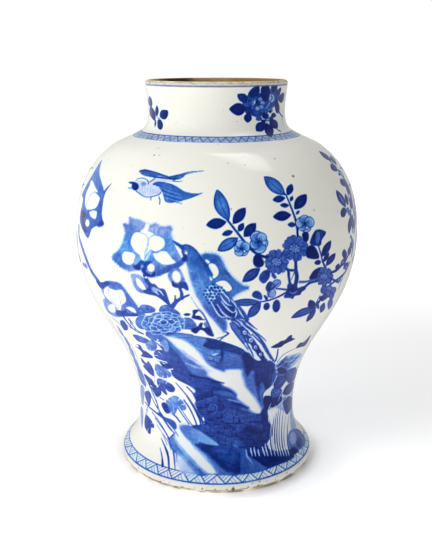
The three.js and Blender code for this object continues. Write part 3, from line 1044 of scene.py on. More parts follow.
def pheasant(brush):
    # head, long neck and body, shading from the back to a white breast
    body = px(182,246, 190,246, 203,259, 209,272, 212,275, 209,276, 211,281, 220,288, 214,296, 211,303,
        216,312, 226,322, 224,333, 213,324, 196,300, 189,282, 186,263, 183,254)
    brush.fill(body, ((189, 276), (203, 270), 0.44, 0.7), 1.6 * MM)
    soft_fills(brush, (5, 0.84, 195,254, 201,257, 206,265, 210,273, 206,277, 200,270, 196,262),
        (3, 0.72, 184,247, 190,247, 196,251, 198,256, 192,256, 187,252),
        (4, 0.74, 212,306, 219,315, 226,322, 226,330, 222,329, 215,318))
    streaks(brush, px(189,262, 198,256), px(195,292, 210,278), 20, 1.5, (0.4, 0.92), 89, 0.6)
    washes(brush, (((196, 262), 0.9), ((203, 268), 0.84), ((191, 260), 0.74), ((198, 284), 0.44),
        ((206, 306), 0.7), ((198, 296), 0.62), ((212, 312), 0.78)), 4.6, 5.4, 5 * MM, 0.7)
    streaks(brush, px(192,284, 206,286), px(206,312, 216,312), 12, 1.2, (0.46, 0.74), 97, 0.5)
    for x, y in (
        (192, 273), (196, 276), (201, 274), (194, 279), (198, 282), (203, 279), (195, 286), (200, 288),
        (206, 283), (191, 268),
    ):
        brush.stroke([(x - 1.6, y - 0.6), (x, y + 0.6), (x + 1.8, y - 0.2)], (0.6, 1.1, 0.5),
            0.72, strength=0.7)
    marks(brush, ((1, 1.6, 2, 1.2), 0.92, 182,246, 187,245, 196,251, 212,275),
        (0, 0.9, 172.6,240, 181,244.4, 184.6,246.4, 184.6,250.6, 182,250.4, 178.6,246.6, 175,243.6),
        (0, 0.0, 175,245, 178.4,248, 181,252.4, 183,256.6, 180.6,255.6, 177.4,250.6),
        (0, 0.93, 181.4,251, 183.6,250.6, 186,254.6, 187.6,257, 187.4,261, 184,261.6, 181.4,259, 183,256.4))
    brush.fill(oval((185.6, 252.4), 2.3, 1.4, 40), 0.02)
    brush.fill(oval((184.6, 251.8), 0.8, 0.8), 0.8)
    breast = px(185,263, 192,290, 202,309, 220,332)
    brush.stroke(breast, (1.4, 2.6, 3.6, 3.6, 4.6), 0.02, 2.4 * MM)
    marks(brush, ((0.6, 0.8, 0.9), 0.5, 191,297, 198,308, 203,313, 213,334),
        ((1.2, 2, 1.6), 0.86, 219.6,340.4, 224,336.6, 228.4,333.6, 226,332),
        (1.0, 0.7, 216,338.6, 220,337.4, 224,336.4))
    # the scaly shoulder
    brush.fill(px(204,291, 213,285, 224,291, 220,303, 213,304, 207,299), 0.1, 1.2 * MM)
    random = np.random.default_rng(101)
    for row in range(7):
        for k in range(7):
            x = 202.4 + 3.5 * k + 1.7 * (row % 2) + random.uniform(-0.5, 0.5)
            y = 284.6 + 3.1 * row + random.uniform(-0.5, 0.5)
            if np.hypot((x - 213.6) / 11, (y - 294.4) / 10) < 1:
                brush.fill(oval((x, y), random.uniform(1.4, 1.75), random.uniform(1.25, 1.55), 30),
                    random.uniform(0.84, 1.0))
    # folded wing feathers
    brush.fill(px(212,303, 226,292, 231,298, 240,306, 246,314, 249,320, 242,322, 225,319, 217,312),
        0.86, 1.2 * MM)
    alike(brush, 0, 0.98, (215.6,306, 219,307.6, 224,313, 226,316, 221,314.6, 217.4,310.6),
        (222,305, 227,309.4, 232,313.4, 231,317, 226,313.6),
        (227,304, 231,305.4, 234,307.6, 233,311, 229,308.4), (232,314, 236.4,313, 238,316, 234,318))
    alike(brush, (0.8, 1.4, 0.7), 0.1, (211,302, 218,314, 222,317, 226,317, 227,320),
        (217,304, 224,314, 234,319, 238,319), (221.6,301.6, 225,306, 229,310, 233,312.6, 235.4,311),
        (220.6,295.6, 224,301, 228,304.6, 231.4,305.8), (222.6,291.4, 225,295, 228.4,298.4, 229.6,302),
        (238,308, 240.6,313, 243.6,317.6), (235.4,309, 236.6,313, 235,318), (231,300, 234.6,303.6, 237,308),
        (227,320, 231,321, 236,323, 241,321))
    # the long tail: barred plumes with pale eyes between dark quills
    brush.fill(px(228,321, 236,319, 245,320, 254,329, 268,349, 274,361, 266,361, 248,350, 234,332), 0.04)
    brush.fill(px(230,323, 236,322, 241,330, 246,341, 243,343, 238,336, 233,329), 0.62, 1 * MM)
    alike(brush, (1.1, 1.5, 1.1), 0.93, (230,323, 233,330, 246,347, 250,355),
        (237,324, 244,337, 251,352, 253,356), (252,334, 257,339, 262,344, 266,351, 271,359))
    brush.stroke(px(239,324, 251,340, 256,348, 264,360), (5, 5.6, 5, 4.4), 0.93)
    for (x, y), size in (
        ((244.6, 332.5), 2.3), ((250.8, 340.2), 2.2), ((255.6, 347.4), 2), ((260.4, 354.4), 1.7),
    ):
        brush.fill(oval((x, y), size + 1.7, size + 1.5), 0.93)
        brush.fill(oval((x, y), size, size * 0.86, 50), 0.16)
        brush.fill(oval((x + 0.3, y + 0.2), 0.5 * size, 0.45 * size), 0.62)
    marks(brush, ((0.8, 1.2, 1.4), 0.04, 248,334, 254,339, 259,345, 270,361),
        ((2.6, 2.2, 1.8, 1.2), 0.93, 241,322, 254,332, 264,344, 273,361),
        ((2.2, 1.6, 0.5), 0.92, 246,320.6, 252,325.8, 257.4,329.6),
        ((0.7, 1.2, 0.5), 0.8, 256,332, 262,337, 266.4,341.4))
    brush.fill(px(231,318, 245,321, 244,326, 236,325, 232,322), 0.86, 1.6 * MM)
    alike(brush, (0.7, 1.2, 0.7), 0.14, (233,321, 237,323.4, 240,327), (241,321.6, 243,325, 247,329.6),
        (236,319.6, 240,322, 242,326))


def tail_tips(brush):
    """The ends of the tail, over the edge of the rock."""
    marks(brush, (0, 0.06, 248,349, 252,350.6, 257,355, 261.4,359.6, 257.6,360.6, 253,357.6, 250,353.6),
        ((1.1, 1.2, 0.7), 0.93, 249,347, 251.6,352, 253.4,357),
        ((0.8, 1.9, 1.2), 0.05, 262,349, 265.4,354, 268.4,360.6),
        ((4.6, 5, 3), 0.95, 256,347.6, 260,353.8, 264,361))
    brush.fill(oval((255.6, 347.4), 2, 1.7, 50), 0.16)
    brush.fill(oval((255.9, 347.6), 1, 0.9), 0.62)
    brush.fill(oval((260.4, 354.4), 1.7, 1.5, 50), 0.16)
    brush.fill(oval((260.7, 354.6), 0.8, 0.7), 0.62)


def left_prunus_twig(brush):
    brush.stroke(px(225,217, 250,248, 262,256, 268,257), (1.4, 1.8, 2.2, 2.2), 0.93)
    leaf(brush, (228.6, 220), (217, 190), 13, 0.62, bend=-1.5, rim=0.9)
    leaves(brush, (226.5, 222, 206, 225, 10.8, 0.95), (233, 224, 245.6, 207.6, 10.6, 0.95),
        (233, 231.4, 222, 234.8, 5.8, 0.93))
    leaf(brush, (237.6, 238.4), (218, 250.4), 10.4, 0.68, rim=0.9)
    leaves(brush, (238.6, 231.6, 243.6, 223, 6.2, 0.92), (244, 237, 256, 223, 10.4, 0.95))
    leaf(brush, (259.6, 268.6), (243, 281.4), 9.2, 0.84, rim=0.95)
    blossom(brush, (241.4, 248.6), 8, 40, tone=0.36, squash=1.06)
    blossom(brush, (259, 241.6), 11, 15, tone=0.42)
    marks(brush, (0, 0.95, 255,255, 259,255.4, 262,258, 264,262, 263,266, 258,267.6, 254,265, 253,260),
        (0, 0.78, 259,277, 262,272, 266,270, 270,271, 270,276, 268,280, 264,283.6, 260,281))


def right_prunus_twig(brush):
    brush.stroke(px(283,192, 287,197, 296,221, 298,237), (1.2, 1.6, 2.2, 2.4), 0.93)
    leaf(brush, (284.6, 194.6), (264.4, 176.8), 11.4, 0.64, rim=0.9)
    leaves(brush, (287.6, 195.4, 292, 183.8, 7, 0.94), (285.4, 198, 272.6, 200, 7, 0.94),
        (289.4, 205.6, 280, 205, 4.4, 0.93), (290.6, 201.4, 292.6, 196, 3.4, 0.92),
        (294.6, 209.4, 306.6, 194.2, 10.8, 0.96), (291.4, 215, 273, 217, 10, 0.95),
        (296.4, 224.8, 287.6, 224.6, 5.2, 0.93), (296, 214.4, 299.6, 210.6, 2.8, 0.9))
    blossom(brush, (305, 224), 8.8, 60, tone=0.4, squash=1.04)
    full_blossom(brush, (276.6, 262), 12, 30, 1.04)
    full_blossom(brush, (295, 248.4), 13, 10, tone=0.62)
    marks(brush, (0, 0.95, 302.6,233, 308,232.4, 309,238, 306.4,242.4, 303,239),
        (0, 0.86, 310,243, 316,230, 326,232, 322,240, 321,245, 317,246),
        (0, 0.55, 316.6,233, 320,232.6, 319.6,240, 317.6,243.6, 315.6,241),
        ((1.4, 1.6, 2.2), 0.8, 318,244, 321,254, 323,262, 326,268))
    leaves(brush, (322, 257, 331, 240.4, 6.8, 0.95), (323.6, 262, 329.2, 252.4, 4.2, 0.93),
        (326.2, 266, 335.6, 253, 6, 0.93))
    marks(brush, (0, 0.97, 306.6,256.6, 307,249, 310,245.4, 314,246, 317.4,250.6, 319.2,258, 312,259),
        (0, 0.93, 314.6,262.8, 317,260.2, 320.4,260.4, 321,263, 318.6,265, 316,264.6))


def gnarled_branch(brush):
    marks(brush, ((3.4, 3, 3.8, 4, 4.6, 6), 0.93, 296,257, 296,270, 297,276, 296,283, 293,290),
        ((2, 2.6, 2.4, 4), 0.93, 283,268, 288,270, 289,277, 290,283, 292,289),
        (2.2, 0.9, 289,270, 293,270.4, 296,270), (1.0, 0.6, 290.6,281, 292.6,277, 294,273),
        (0, 0.93, 288,284, 295,285, 300,289, 305,286, 306,289, 302,292, 300,295, 295,296, 293,299, 290,298,
        285,298, 284,296, 287,292), (1.1, 0.45, 290,292, 293,293.6, 297,291.4),
        ((3.4, 2.8, 2), 0.9, 300,289, 305,287, 310,283, 318,281),
        ((2.6, 2, 1.2), 0.66, 300,282, 304,282, 309,281, 317,279),
        ((1.2, 1.6, 2), 0.95, 258,302, 266,301, 273,299, 280,296, 287,292),
        ((1.4, 1.8), 0.9, 276,288.6, 281,289, 288,290))
    petal(brush, oval((276.4, 283.6), 4.8, 3.6, -30), 0.42, 0.9, 0.6)
    petal(brush, oval((271.6, 293), 4.2, 4.6), 0.36, 0.9, 0.6)
    petal(brush, oval((272, 286.4), 3, 3), 0.6, 0.9, 0.6)
    marks(brush, ((0.8, 1.2, 0.8), 0.9, 268,297, 270,291, 274,287, 279,283),
        (0, 0.93, 265.6,288, 268,282.6, 271.4,281.6, 271.6,286.6, 268,292), (3, 0.85, 273,275, 275,277.4),
        (0, 0.88, 252,294, 255,290.8, 259,291.4, 262,295, 261.4,300, 253,297))
    leaf(brush, (260, 302), (232, 302.6), 6.6, 0.78, rim=0.92)
    leaf(brush, (260.4, 303), (248, 317.4), 8.4, 0.84, rim=0.95)
    brush.fill(oval((276.4, 306), 3.9, 6.4, 6), 0.92)
    brush.fill(oval((266.6, 306.4), 3.1, 3.9, 20), 0.95)
    brush.fill(px(263.6,295.4, 266,295.6, 268,299, 266,300.4), 0.95)


def right_edge_sprays(brush):
    full_blossom(brush, (324, 276.6), 9.4, 20, tone=0.58)
    marks(brush, (0, 0.95, 309.6,279, 312,273, 316,269, 321.4,267.4, 318.6,273, 316.6,279),
        ((2.6, 3, 3, 3, 2), 0.9, 331,273, 337,270, 341,266, 346,260, 350,251),
        ((1.6, 2.6, 3, 3, 2), 0.9, 327,288, 334,282, 341,277, 346,271, 350,262),
        ((1.2, 2, 1), 0.9, 330,277.6, 335,280.6, 339,283),
        ((1.4, 1.2, 0.8), 0.9, 343,277, 340.4,284, 338.6,289))
    leaves(brush, (345, 259.4, 344.2, 249, 5, 0.93), (348.6, 255.6, 350.4, 246, 3.6, 0.93),
        (350.4, 250, 352.4, 239.6, 3, 0.93), (341, 266, 345.8, 258, 4.6, 0.93),
        (343.6, 269, 348.6, 262, 4, 0.93), (336, 270, 339.4, 263.6, 4, 0.93),
        (330.6, 164, 337, 171.4, 5.4, 0.93), (340.4, 178.6, 346.4, 186.8, 5.4, 0.93),
        (345.8, 207.4, 336.2, 190, 6, 0.93), (348, 205.4, 345.2, 193.6, 3.4, 0.93),
        (350.4, 216, 349, 234, 3.6, 0.93), (352, 214, 353.4, 229, 2.6, 0.93),
        (319, 151, 331.4, 161, 4, 0.93), (329.6, 155, 336.6, 165, 3.4, 0.93),
        (345, 182, 350.4, 196, 2.6, 0.93), (350, 196, 352, 210, 2.4, 0.93),
        (344.6, 204.6, 338.4, 193, 2.4, 0.6))
    brush.fill(oval((343.4, 212.4), 2.8, 5, 8), 0.95)
    brush.fill(oval((339.6, 174), 1.3, 1.5), 0.9)
    marks(brush, ((1.6, 2.4, 2, 2, 1.4), 0.86, 327,158, 333,164, 337,169, 342,173, 345,180),
        ((1.4, 2.2, 2, 2, 1.4), 0.8, 345,184, 348,194, 350,204, 351,214, 352,226),
        ((2, 4, 5, 3), 0.72, 336,168, 343,177, 349,188, 352,201, 354,214),
        ((4, 8, 8, 4), 0.56, 353,197, 355,207, 355,220, 354,232),
        ((2, 4, 2), 0.78, 348.6,211, 351.6,221, 352.6,232), ((3, 6, 3), 0.6, 350.6,236, 353,244, 351.6,256))
    for x, y in ((347.4, 210), (349.6, 212.6), (346.4, 267.6), (343, 262), (339.6, 279.6)):
        petal(brush, oval((x, y), 1.6, 2.2, 20), 0.5, 0.85, 0.6)
    # the hanging cluster below the branch
    for x, y, across, up, tone in (
        (324, 289.6, 3, 4, 0.66), (329.4, 288.6, 3.4, 3, 0.5), (333.6, 290.6, 2.6, 3.4, 0.56),
        (328, 293.8, 3.2, 3.4, 0.6), (325, 296.6, 2.6, 2.6, 0.74), (331.8, 295.8, 2.4, 3, 0.66),
        (322.2, 298.6, 2.6, 2.4, 0.88),
    ):
        petal(brush, oval((x, y), across, up, 20), tone, 0.92, 0.7)
    leaves(brush, (332, 297, 328.8, 309.6, 5, 0.74), (324.6, 302.6, 320.8, 313, 5, 0.86),
        (317, 301.6, 318.8, 309.4, 2.8, 0.9), (316, 309.4, 306.4, 322, 5, 0.86),
        (320, 300, 318, 304, 2.4, 0.9))
    leaf(brush, (316.4, 308), (291.6, 317.6), 6.8, 0.78, bend=0.8, rim=0.9)
    marks(brush, (0, 0.9, 308,306.4, 309,301, 311.4,300, 315,302, 316.4,306.4, 312,308),
        (1.4, 0.8, 320,296, 317,302, 315,309))


def neck_sprays(brush):
    leaves(brush, (151.4, 108, 149.6, 96, 4, 0.95), (155, 121, 150.4, 106, 5.4, 1.0),
        (157, 116.6, 157, 105.2, 3.4, 1.0))
    marks(brush, (0, 0.97, 160,113, 161.6,110.4, 165,109.8, 167.8,110.8, 168,115, 166,118.8, 162.6,119.2,
        160,116.6), (0, 1.0, 158,119.4, 161,120, 163,124.6, 162,129, 159.4,129.4, 157.6,126))
    leaf(brush, (155.8, 119.6), (155.2, 127), 1.8, 0.9)
    brush.stroke(px(157,117, 158.6,118.4, 159.8,118), 0.8, 0.5)
    # the flowering clump at the right
    brush.fill(px(246,97, 252,93, 259,94, 266,98, 269,104, 267,111, 262,116, 253,116, 246,112, 244,104),
        0.72)
    for k in range(7):
        angle = 0.6 + math.tau * k / 7
        place = (255.6 + 8.6 * math.cos(angle), 104.6 + 7.6 * math.sin(angle))
        petal(brush, oval(place, 4.4, 4, math.degrees(angle)), 0.64 + 0.1 * (k % 3), 0.92, 0.6)
    for x, y in (
        (252, 99), (256, 98.4), (260.4, 99.4), (262.8, 103), (261.6, 107), (257.4, 108.4),
        (253, 107.4), (250.6, 103.4),
    ):
        petal(brush, oval((x, y), 2.6, 2.6), 0.36 if x > 257 else 0.68, 0.9, 0.6)
    for k in range(10):
        angle = math.tau * k / 10
        far = (255.8 + 4.4 * math.cos(angle), 102.8 + 4 * math.sin(angle))
        brush.stroke([(255.8, 102.8), far], (1, 0.5), 0.1 if 3 < k < 8 else 0.98)
    brush.fill(px(269,90, 276,89, 280,92, 279,99, 275,106, 268,109, 266,102), 0.74, 2 * MM)
    petal(brush, oval((271.6, 98), 3.2, 4.6), 0.26, 0.84, 0.7)
    marks(brush, (1.0, 0.9, 271,95.6, 272.4,98, 270.8,100.4),
        ((1.8, 1.2), 0.4, 269.6,103, 268,106, 266,108.4),
        (0, 0.9, 248,94, 251,89.4, 255,86.6, 259,86, 259.6,93, 256,96.4, 250,97),
        (0, 0.93, 261,88, 264,86, 269,86, 270,93, 268,100, 264,101, 261,95),
        (0, 0.9, 271,87, 274,85.6, 277.4,85.8, 276.6,90, 273,92),
        (0, 0.9, 276.6,93.6, 278.6,89, 281,87.6, 280.8,91.4, 278.4,94.8),
        (0, 0.93, 278.6,99, 281,94, 283.8,92.6, 284.2,97, 282.4,102, 280,102.6),
        (0, 0.95, 275,100, 276.8,99.4, 279.4,106, 279,112.4, 276.6,113, 275,108),
        ((1.6, 1.2, 1.6), 0.9, 279,112, 281,115, 282.8,117),
        ((0.8, 0.5), 0.4, 281.6,118, 283,122, 283.6,125))
    leaf(brush, (246.6, 103), (237.4, 94.2), 8.6, 0.9, bend=1.2)
    leaf(brush, (245.6, 109.4), (229, 109), 12.6, 0.98, fullness=0.42)
    leaf(brush, (248.4, 112), (247.6, 122.8), 8, 0.96, fullness=0.55)
    for x, y, across, up, tone in (
        (265.6, 116, 3.2, 2.8, 0.93), (273.6, 115.2, 2.2, 2, 0.97), (270.2, 110.4, 2.4, 2, 0.36),
        (270.2, 111.4, 1.2, 1.4, 0.97), (259, 118.8, 3, 1.8, 0.7), (268, 119.6, 2.4, 1.4, 0.34),
        (271.4, 118, 1.8, 1.4, 0.8), (263.6, 121, 2.2, 1.2, 0.9), (266, 111.6, 2, 1.6, 0.6),
    ):
        petal(brush, oval((x, y), across, up), tone, 0.9, 0.6)
    leaf(brush, (265.4, 122), (256.2, 131), 9.6, 0.95, fullness=0.55)
    leaf(brush, (266.2, 122.6), (271.6, 137), 8.8, 0.97, fullness=0.55)
    leaf(brush, (270, 119), (277.4, 128.6), 8, 0.95)
    brush.stroke(px(276,127.6, 278,130, 280.4,131.2), (1, 1, 2), 0.9)


def ruffle(brush, place, angle, across, deep, random):
    """A crumpled petal with its lobed pale rim turned out at angle, dark where the next one covers it."""
    out = toward(angle, 0.6)
    side = np.array([-math.sin(angle), math.cos(angle) * 0.6])
    turn = np.linspace(0, math.tau, 20, endpoint=False)
    lobes = 1 + 0.1 * np.sin(5 * turn + random.uniform(0, 6))
    lobes = lobes + 0.07 * np.sin(9 * turn + random.uniform(0, 6))
    outline = place + np.outer(across * lobes * np.cos(turn), side)
    outline = outline + np.outer(deep * lobes * np.sin(turn), out)
    petal(brush, outline, random.uniform(0.42, 0.6), random.uniform(0.06, 0.2), 0.8)
    lean = math.degrees(math.atan2(side[1], side[0]))
    brush.fill(oval(place - 0.3 * deep * out, 0.7 * across, 0.34 * deep, lean),
        random.uniform(0.62, 0.84), 1.6 * MM)
    for share in (-0.45, 0.1, 0.5):
        fold = place + share * across * side
        brush.stroke([fold - 0.2 * deep * out, fold + random.uniform(0.4, 0.7) * deep * out], (0.8, 0.4),
            random.uniform(0.7, 0.9))


def peony(brush):
    for tone, *pixels in (
        (0.5, 138,311, 141,306, 145,305, 150,306, 155,309, 153,312, 141,313),
        (0.55, 160,312, 161,307, 166,305, 171,307, 180,314, 177,317, 167,315),
        (0.52, 136,323, 137,318.4, 141,316.6, 146,317.6, 146,325, 144,328.8, 139,327.6),
        (0.5, 181,322, 185,318, 191,319, 196,325, 195,328, 188,329, 182,328),
        (0.56, 146,333, 151,331, 160,332, 165,336, 163,341, 157,341, 150,338),
    ):
        petal(brush, px(*pixels), tone, 0.72, 0.8)
    streaks(brush, px(139,309, 146,305, 153,308), px(144,313, 148,313, 152,312), 7, 0.8,
        (0.7, 0.86), 113, 0.8)
    streaks(brush, px(162,307, 170,307, 178,313), px(164,313, 169,314, 174,316), 7, 0.8,
        (0.7, 0.86), 127, 0.8)
    streaks(brush, px(195,321, 196,325, 194,329), px(186,321, 186,324, 186,328), 6, 0.8,
        (0.68, 0.84), 131, 0.8)
    washes(brush, (((143, 306.4), 0.4), ((151, 311), 0.66), ((164, 307), 0.44), ((176, 314), 0.8),
        ((138, 321), 0.4), ((144, 325), 0.7), ((192, 323), 0.4), ((185, 327), 0.66)), 3, 2, 3 * MM)
    random = np.random.default_rng(109)
    brush.fill(oval((163.6, 323.4), 21, 10.6), 0.6)
    for reach, count, across, deep in (
        (0.86, 11, 6.4, 5), (0.6, 9, 5.6, 5), (0.36, 6, 4.8, 5), (0.12, 3, 4, 4.4),
    ):
        for k in range(count):
            angle = math.tau * (k + random.uniform(-0.2, 0.2)) / count + 5 * reach
            place = np.array([163.6 + 20 * reach * math.cos(angle), 323.4 + 10.4 * reach * math.sin(angle)])
            ruffle(brush, place, angle, across, deep, random)
    alike(brush, 0, 0.88, (183.6,314.6, 186,313.2, 189.6,313.4, 190.4,314.8, 187,316),
        (193,310, 199,310, 195,315, 200,316, 203,319, 206,320, 200,320, 192,318, 193,314),
        (191,330, 198,326, 200,323, 203,323, 202,327, 205,328, 207,325, 214,336, 208,335, 204,331, 200,330,
        199,334, 194,333))
    marks(brush, ((0.9, 1.3, 1.6), 0.8, 199,310, 203,314, 206,319, 209,325, 213,335),
        (0, 0.5, 203.6,323.6, 206.6,321.6, 208.4,326, 206,327.4))


def left_foliage(brush):
    for tone, *pixels in (
        (0.66, 133,335, 137,335, 149,340, 150,343, 144,343, 138,341, 135,338),
        (0.5, 146,343, 150,340.6, 155,341, 157,345, 155.6,349.6, 150,350.4, 146.6,347),
        (0.86, 135,346, 139,348, 138,344, 141,347, 143,350, 147,352, 153,357, 150,358, 141,356, 143,354,
         140,350),
        (0.84, 141,358, 147,364, 148,361, 153,369, 154,376, 149,373, 143,366, 145,365, 142,362),
        (0.86, 144,374, 152,380, 154,384, 160,389, 161,394, 157,397, 154,393, 147,381),
        (0.72, 155,351, 160,350, 166,351, 170,354, 171,361, 165,361, 155,357),
        (0.4, 160,343, 165,339, 169,345, 168,352, 163,350, 162,346),
        (0.88, 160,361.4, 169,364, 172,366.6, 168,369, 163,366.6),
        (0.5, 157,364, 170,372, 171,376, 166,378, 160,377, 157,374, 155,369),
        (0.74, 157,380, 161,379, 171,384, 175,389, 173,392, 168,391, 165,388, 167,395, 159,388),
        (0.46, 168,399, 176,396, 184,403, 186,409, 182,410, 178,407, 176,412, 173,415, 169,411, 166,402),
        (0.9, 161.4,404, 164.6,402.6, 168,406.4, 170,411.6, 167.6,413.6, 164,410.6),
        (0.82, 145,417, 147,415, 154,425, 153,428, 151,427, 150,434, 145,427),
        (0.74, 158,412, 164,417, 172,420, 176,424, 176,429, 173,428, 167,422, 160,416),
        (0.76, 145,392, 148,391, 151,395, 149,406, 145,396),
        (0.84, 120.4,321, 124,322.4, 127,325, 127.6,329.6, 124.6,330, 122.6,327.4, 122,324),
        # leaves turning away along the edge
        (0.46, 116.6,325, 118.6,327, 122.6,333, 123.6,336.4, 120.4,333),
        (0.54, 123.4,336, 126,338, 129.6,344, 130.4,348, 127.4,344.4),
        (0.46, 128.4,346, 131.6,348.6, 134.4,355, 134.4,359, 131,354.4),
        (0.54, 133,357.6, 136.4,360, 139,367, 139,371, 135.8,366),
        (0.62, 137,368, 141,371, 146,386, 142,383, 139,377),
        (0.42, 141,385, 144,388, 144,398, 143,405, 141,397),
        (0.4, 141,407, 143,410, 143,420, 142,428, 141,418),
    ):
        outline = px(*pixels)
        brush.fill(outline, tone, 1.0 * MM)
        closed = smooth(outline, True)
        brush.stroke(closed[:: 2], 0.5, min(tone + 0.22, 0.96), round_path=False, strength=0.7)
    pools = (((157.4, 391), 0.66), ((162, 381), 0.44), ((180, 404), 0.58), ((174, 399), 0.36),
        ((163, 371), 0.4), ((168, 376), 0.64), ((142, 339), 0.52), ((164, 354), 0.7), ((150, 343), 0.4),
        ((154, 348), 0.62), ((148, 366), 0.7), ((149, 380), 0.7), ((172, 409), 0.6), ((171, 388), 0.88))
    washes(brush, pools, 3.4, 2.4, 3.4 * MM)
    marks(brush, ((1, 1.8, 2.2), 0.9, 146,335, 150,338, 154,341, 159,345, 163,349),
        ((0.5, 0.9, 0.5), 0.1, 150,337, 155,341.4, 160,347),
        ((0.6, 1.2, 0.8), 0.66, 136,344.6, 140,345.4, 142,348), (0.7, 0.6, 147,363.6, 149.6,367, 151.4,373),
        ((0.6, 1, 0.6), 0.5, 157,360.4, 161,362, 166,365), (0.8, 0.3, 153,372, 154.6,378, 154,384),
        (0.8, 0.72, 158,366, 162,371, 168,375.6), (0.8, 0.9, 160,383, 166,386, 172,390),
        (0.9, 0.3, 169,400, 173,404, 174,412), (0.8, 0.62, 176,398, 180,403, 184,408),
        ((1, 1.5, 1.6), 0.8, 148,390, 152,398, 156,406, 160,412, 165,419),
        (0.9, 0.55, 151,391, 154.6,399, 158,407), (1.4, 0.6, 160,397.6, 162,398.8, 163.6,400),
        ((1.6, 2.2, 2.6), 0.74, 145,402, 149,407, 154,411, 159,415, 166,420),
        (0.8, 0.6, 148,409, 146.8,413, 146.2,417),
        ((0.8, 1.4, 1), 0.86, 128,318, 132,324, 137,330, 144,334), (0.7, 0.7, 130,321, 131,325, 130.4,328),
        ((0.8, 1.2, 1.4), 0.86, 146,377, 149,385, 155,398, 160,412, 164,420),
        ((1, 0.8, 0.5), 0.7, 147.4,407, 146,412, 145,418), (0.6, 0.5, 148,394, 148,400, 147.6,404),
        (0.6, 0.95, 142,361, 146,366, 151,373), (0.7, 0.97, 147,378, 153,386, 158,394),
        (0.6, 0.86, 136,336.6, 141,339, 146,341), (0.6, 0.8, 148,344, 152,345.6, 155,348),
        (0.6, 0.86, 162,366, 164,371, 168,375), (0.6, 0.8, 158,372, 162,373.6, 166,376),
        ((1, 1.8, 1.2), 0.55, 139,366, 143.4,376, 147,384.4),
        ((0.8, 1.5, 0.8), 0.3, 131,344, 135,352, 139,362),
        ((1, 2, 1), 0.5, 141.6,378, 144.4,384, 146,388.6))
    # light left between the teeth of the leaves
    for x, y, right, down in (
        (155, 371, 4, 1), (172.6, 369, -4.6, 1.6), (162.6, 379, 0.6, -4), (168, 378, -1, -3.4),
        (181, 397, -3, 4), (167, 398.6, 3.4, 3), (186, 403.6, -5, 1.2), (180, 411, -1.6, -4.6),
        (171, 416, 1, -4.6), (147.2, 432, 1.2, -4.4), (154, 422, -2.6, 1.6), (159, 352, 3, 2.6),
        (154, 355, 4, 0.8), (163, 363, 3, 0.6), (157, 387, 2.6, -3), (168, 380.6, -2.6, 3.4),
        (158, 339.6, -2, 3), (145, 346, 3, 0.6), (150, 352, 0.8, -3.4), (150.6, 385.6, 3.4, 2.6),
        (154.6, 379, 2.4, 4),
    ):
        brush.stroke([(x, y), (x + 0.6 * right, y + 0.6 * down), (x + right, y + down)],
            (1.7, 0.9, 0.3), 0.05)


def rock(brush):
    mass = px(166,334, 180,333, 207,337, 225,342, 241,348, 246,352, 255,354, 271,361, 276,367, 274,380,
        270,387, 265,391, 263,398, 267,408, 268,420, 271,426, 270,436, 266,446, 276,451, 290,449, 298,451,
        284,462, 262,471, 245,474, 208,475, 196,474, 174,452, 169,443, 170,437, 176,431, 180,424, 192,425,
        204,424, 206,420, 199,413, 196,405, 196,390, 190,386, 175,378, 171,370, 168,350)
    brush.fill(mass, 0.84)
    rock_top(brush)
    rock_front(brush)
    rock_foot(brush)


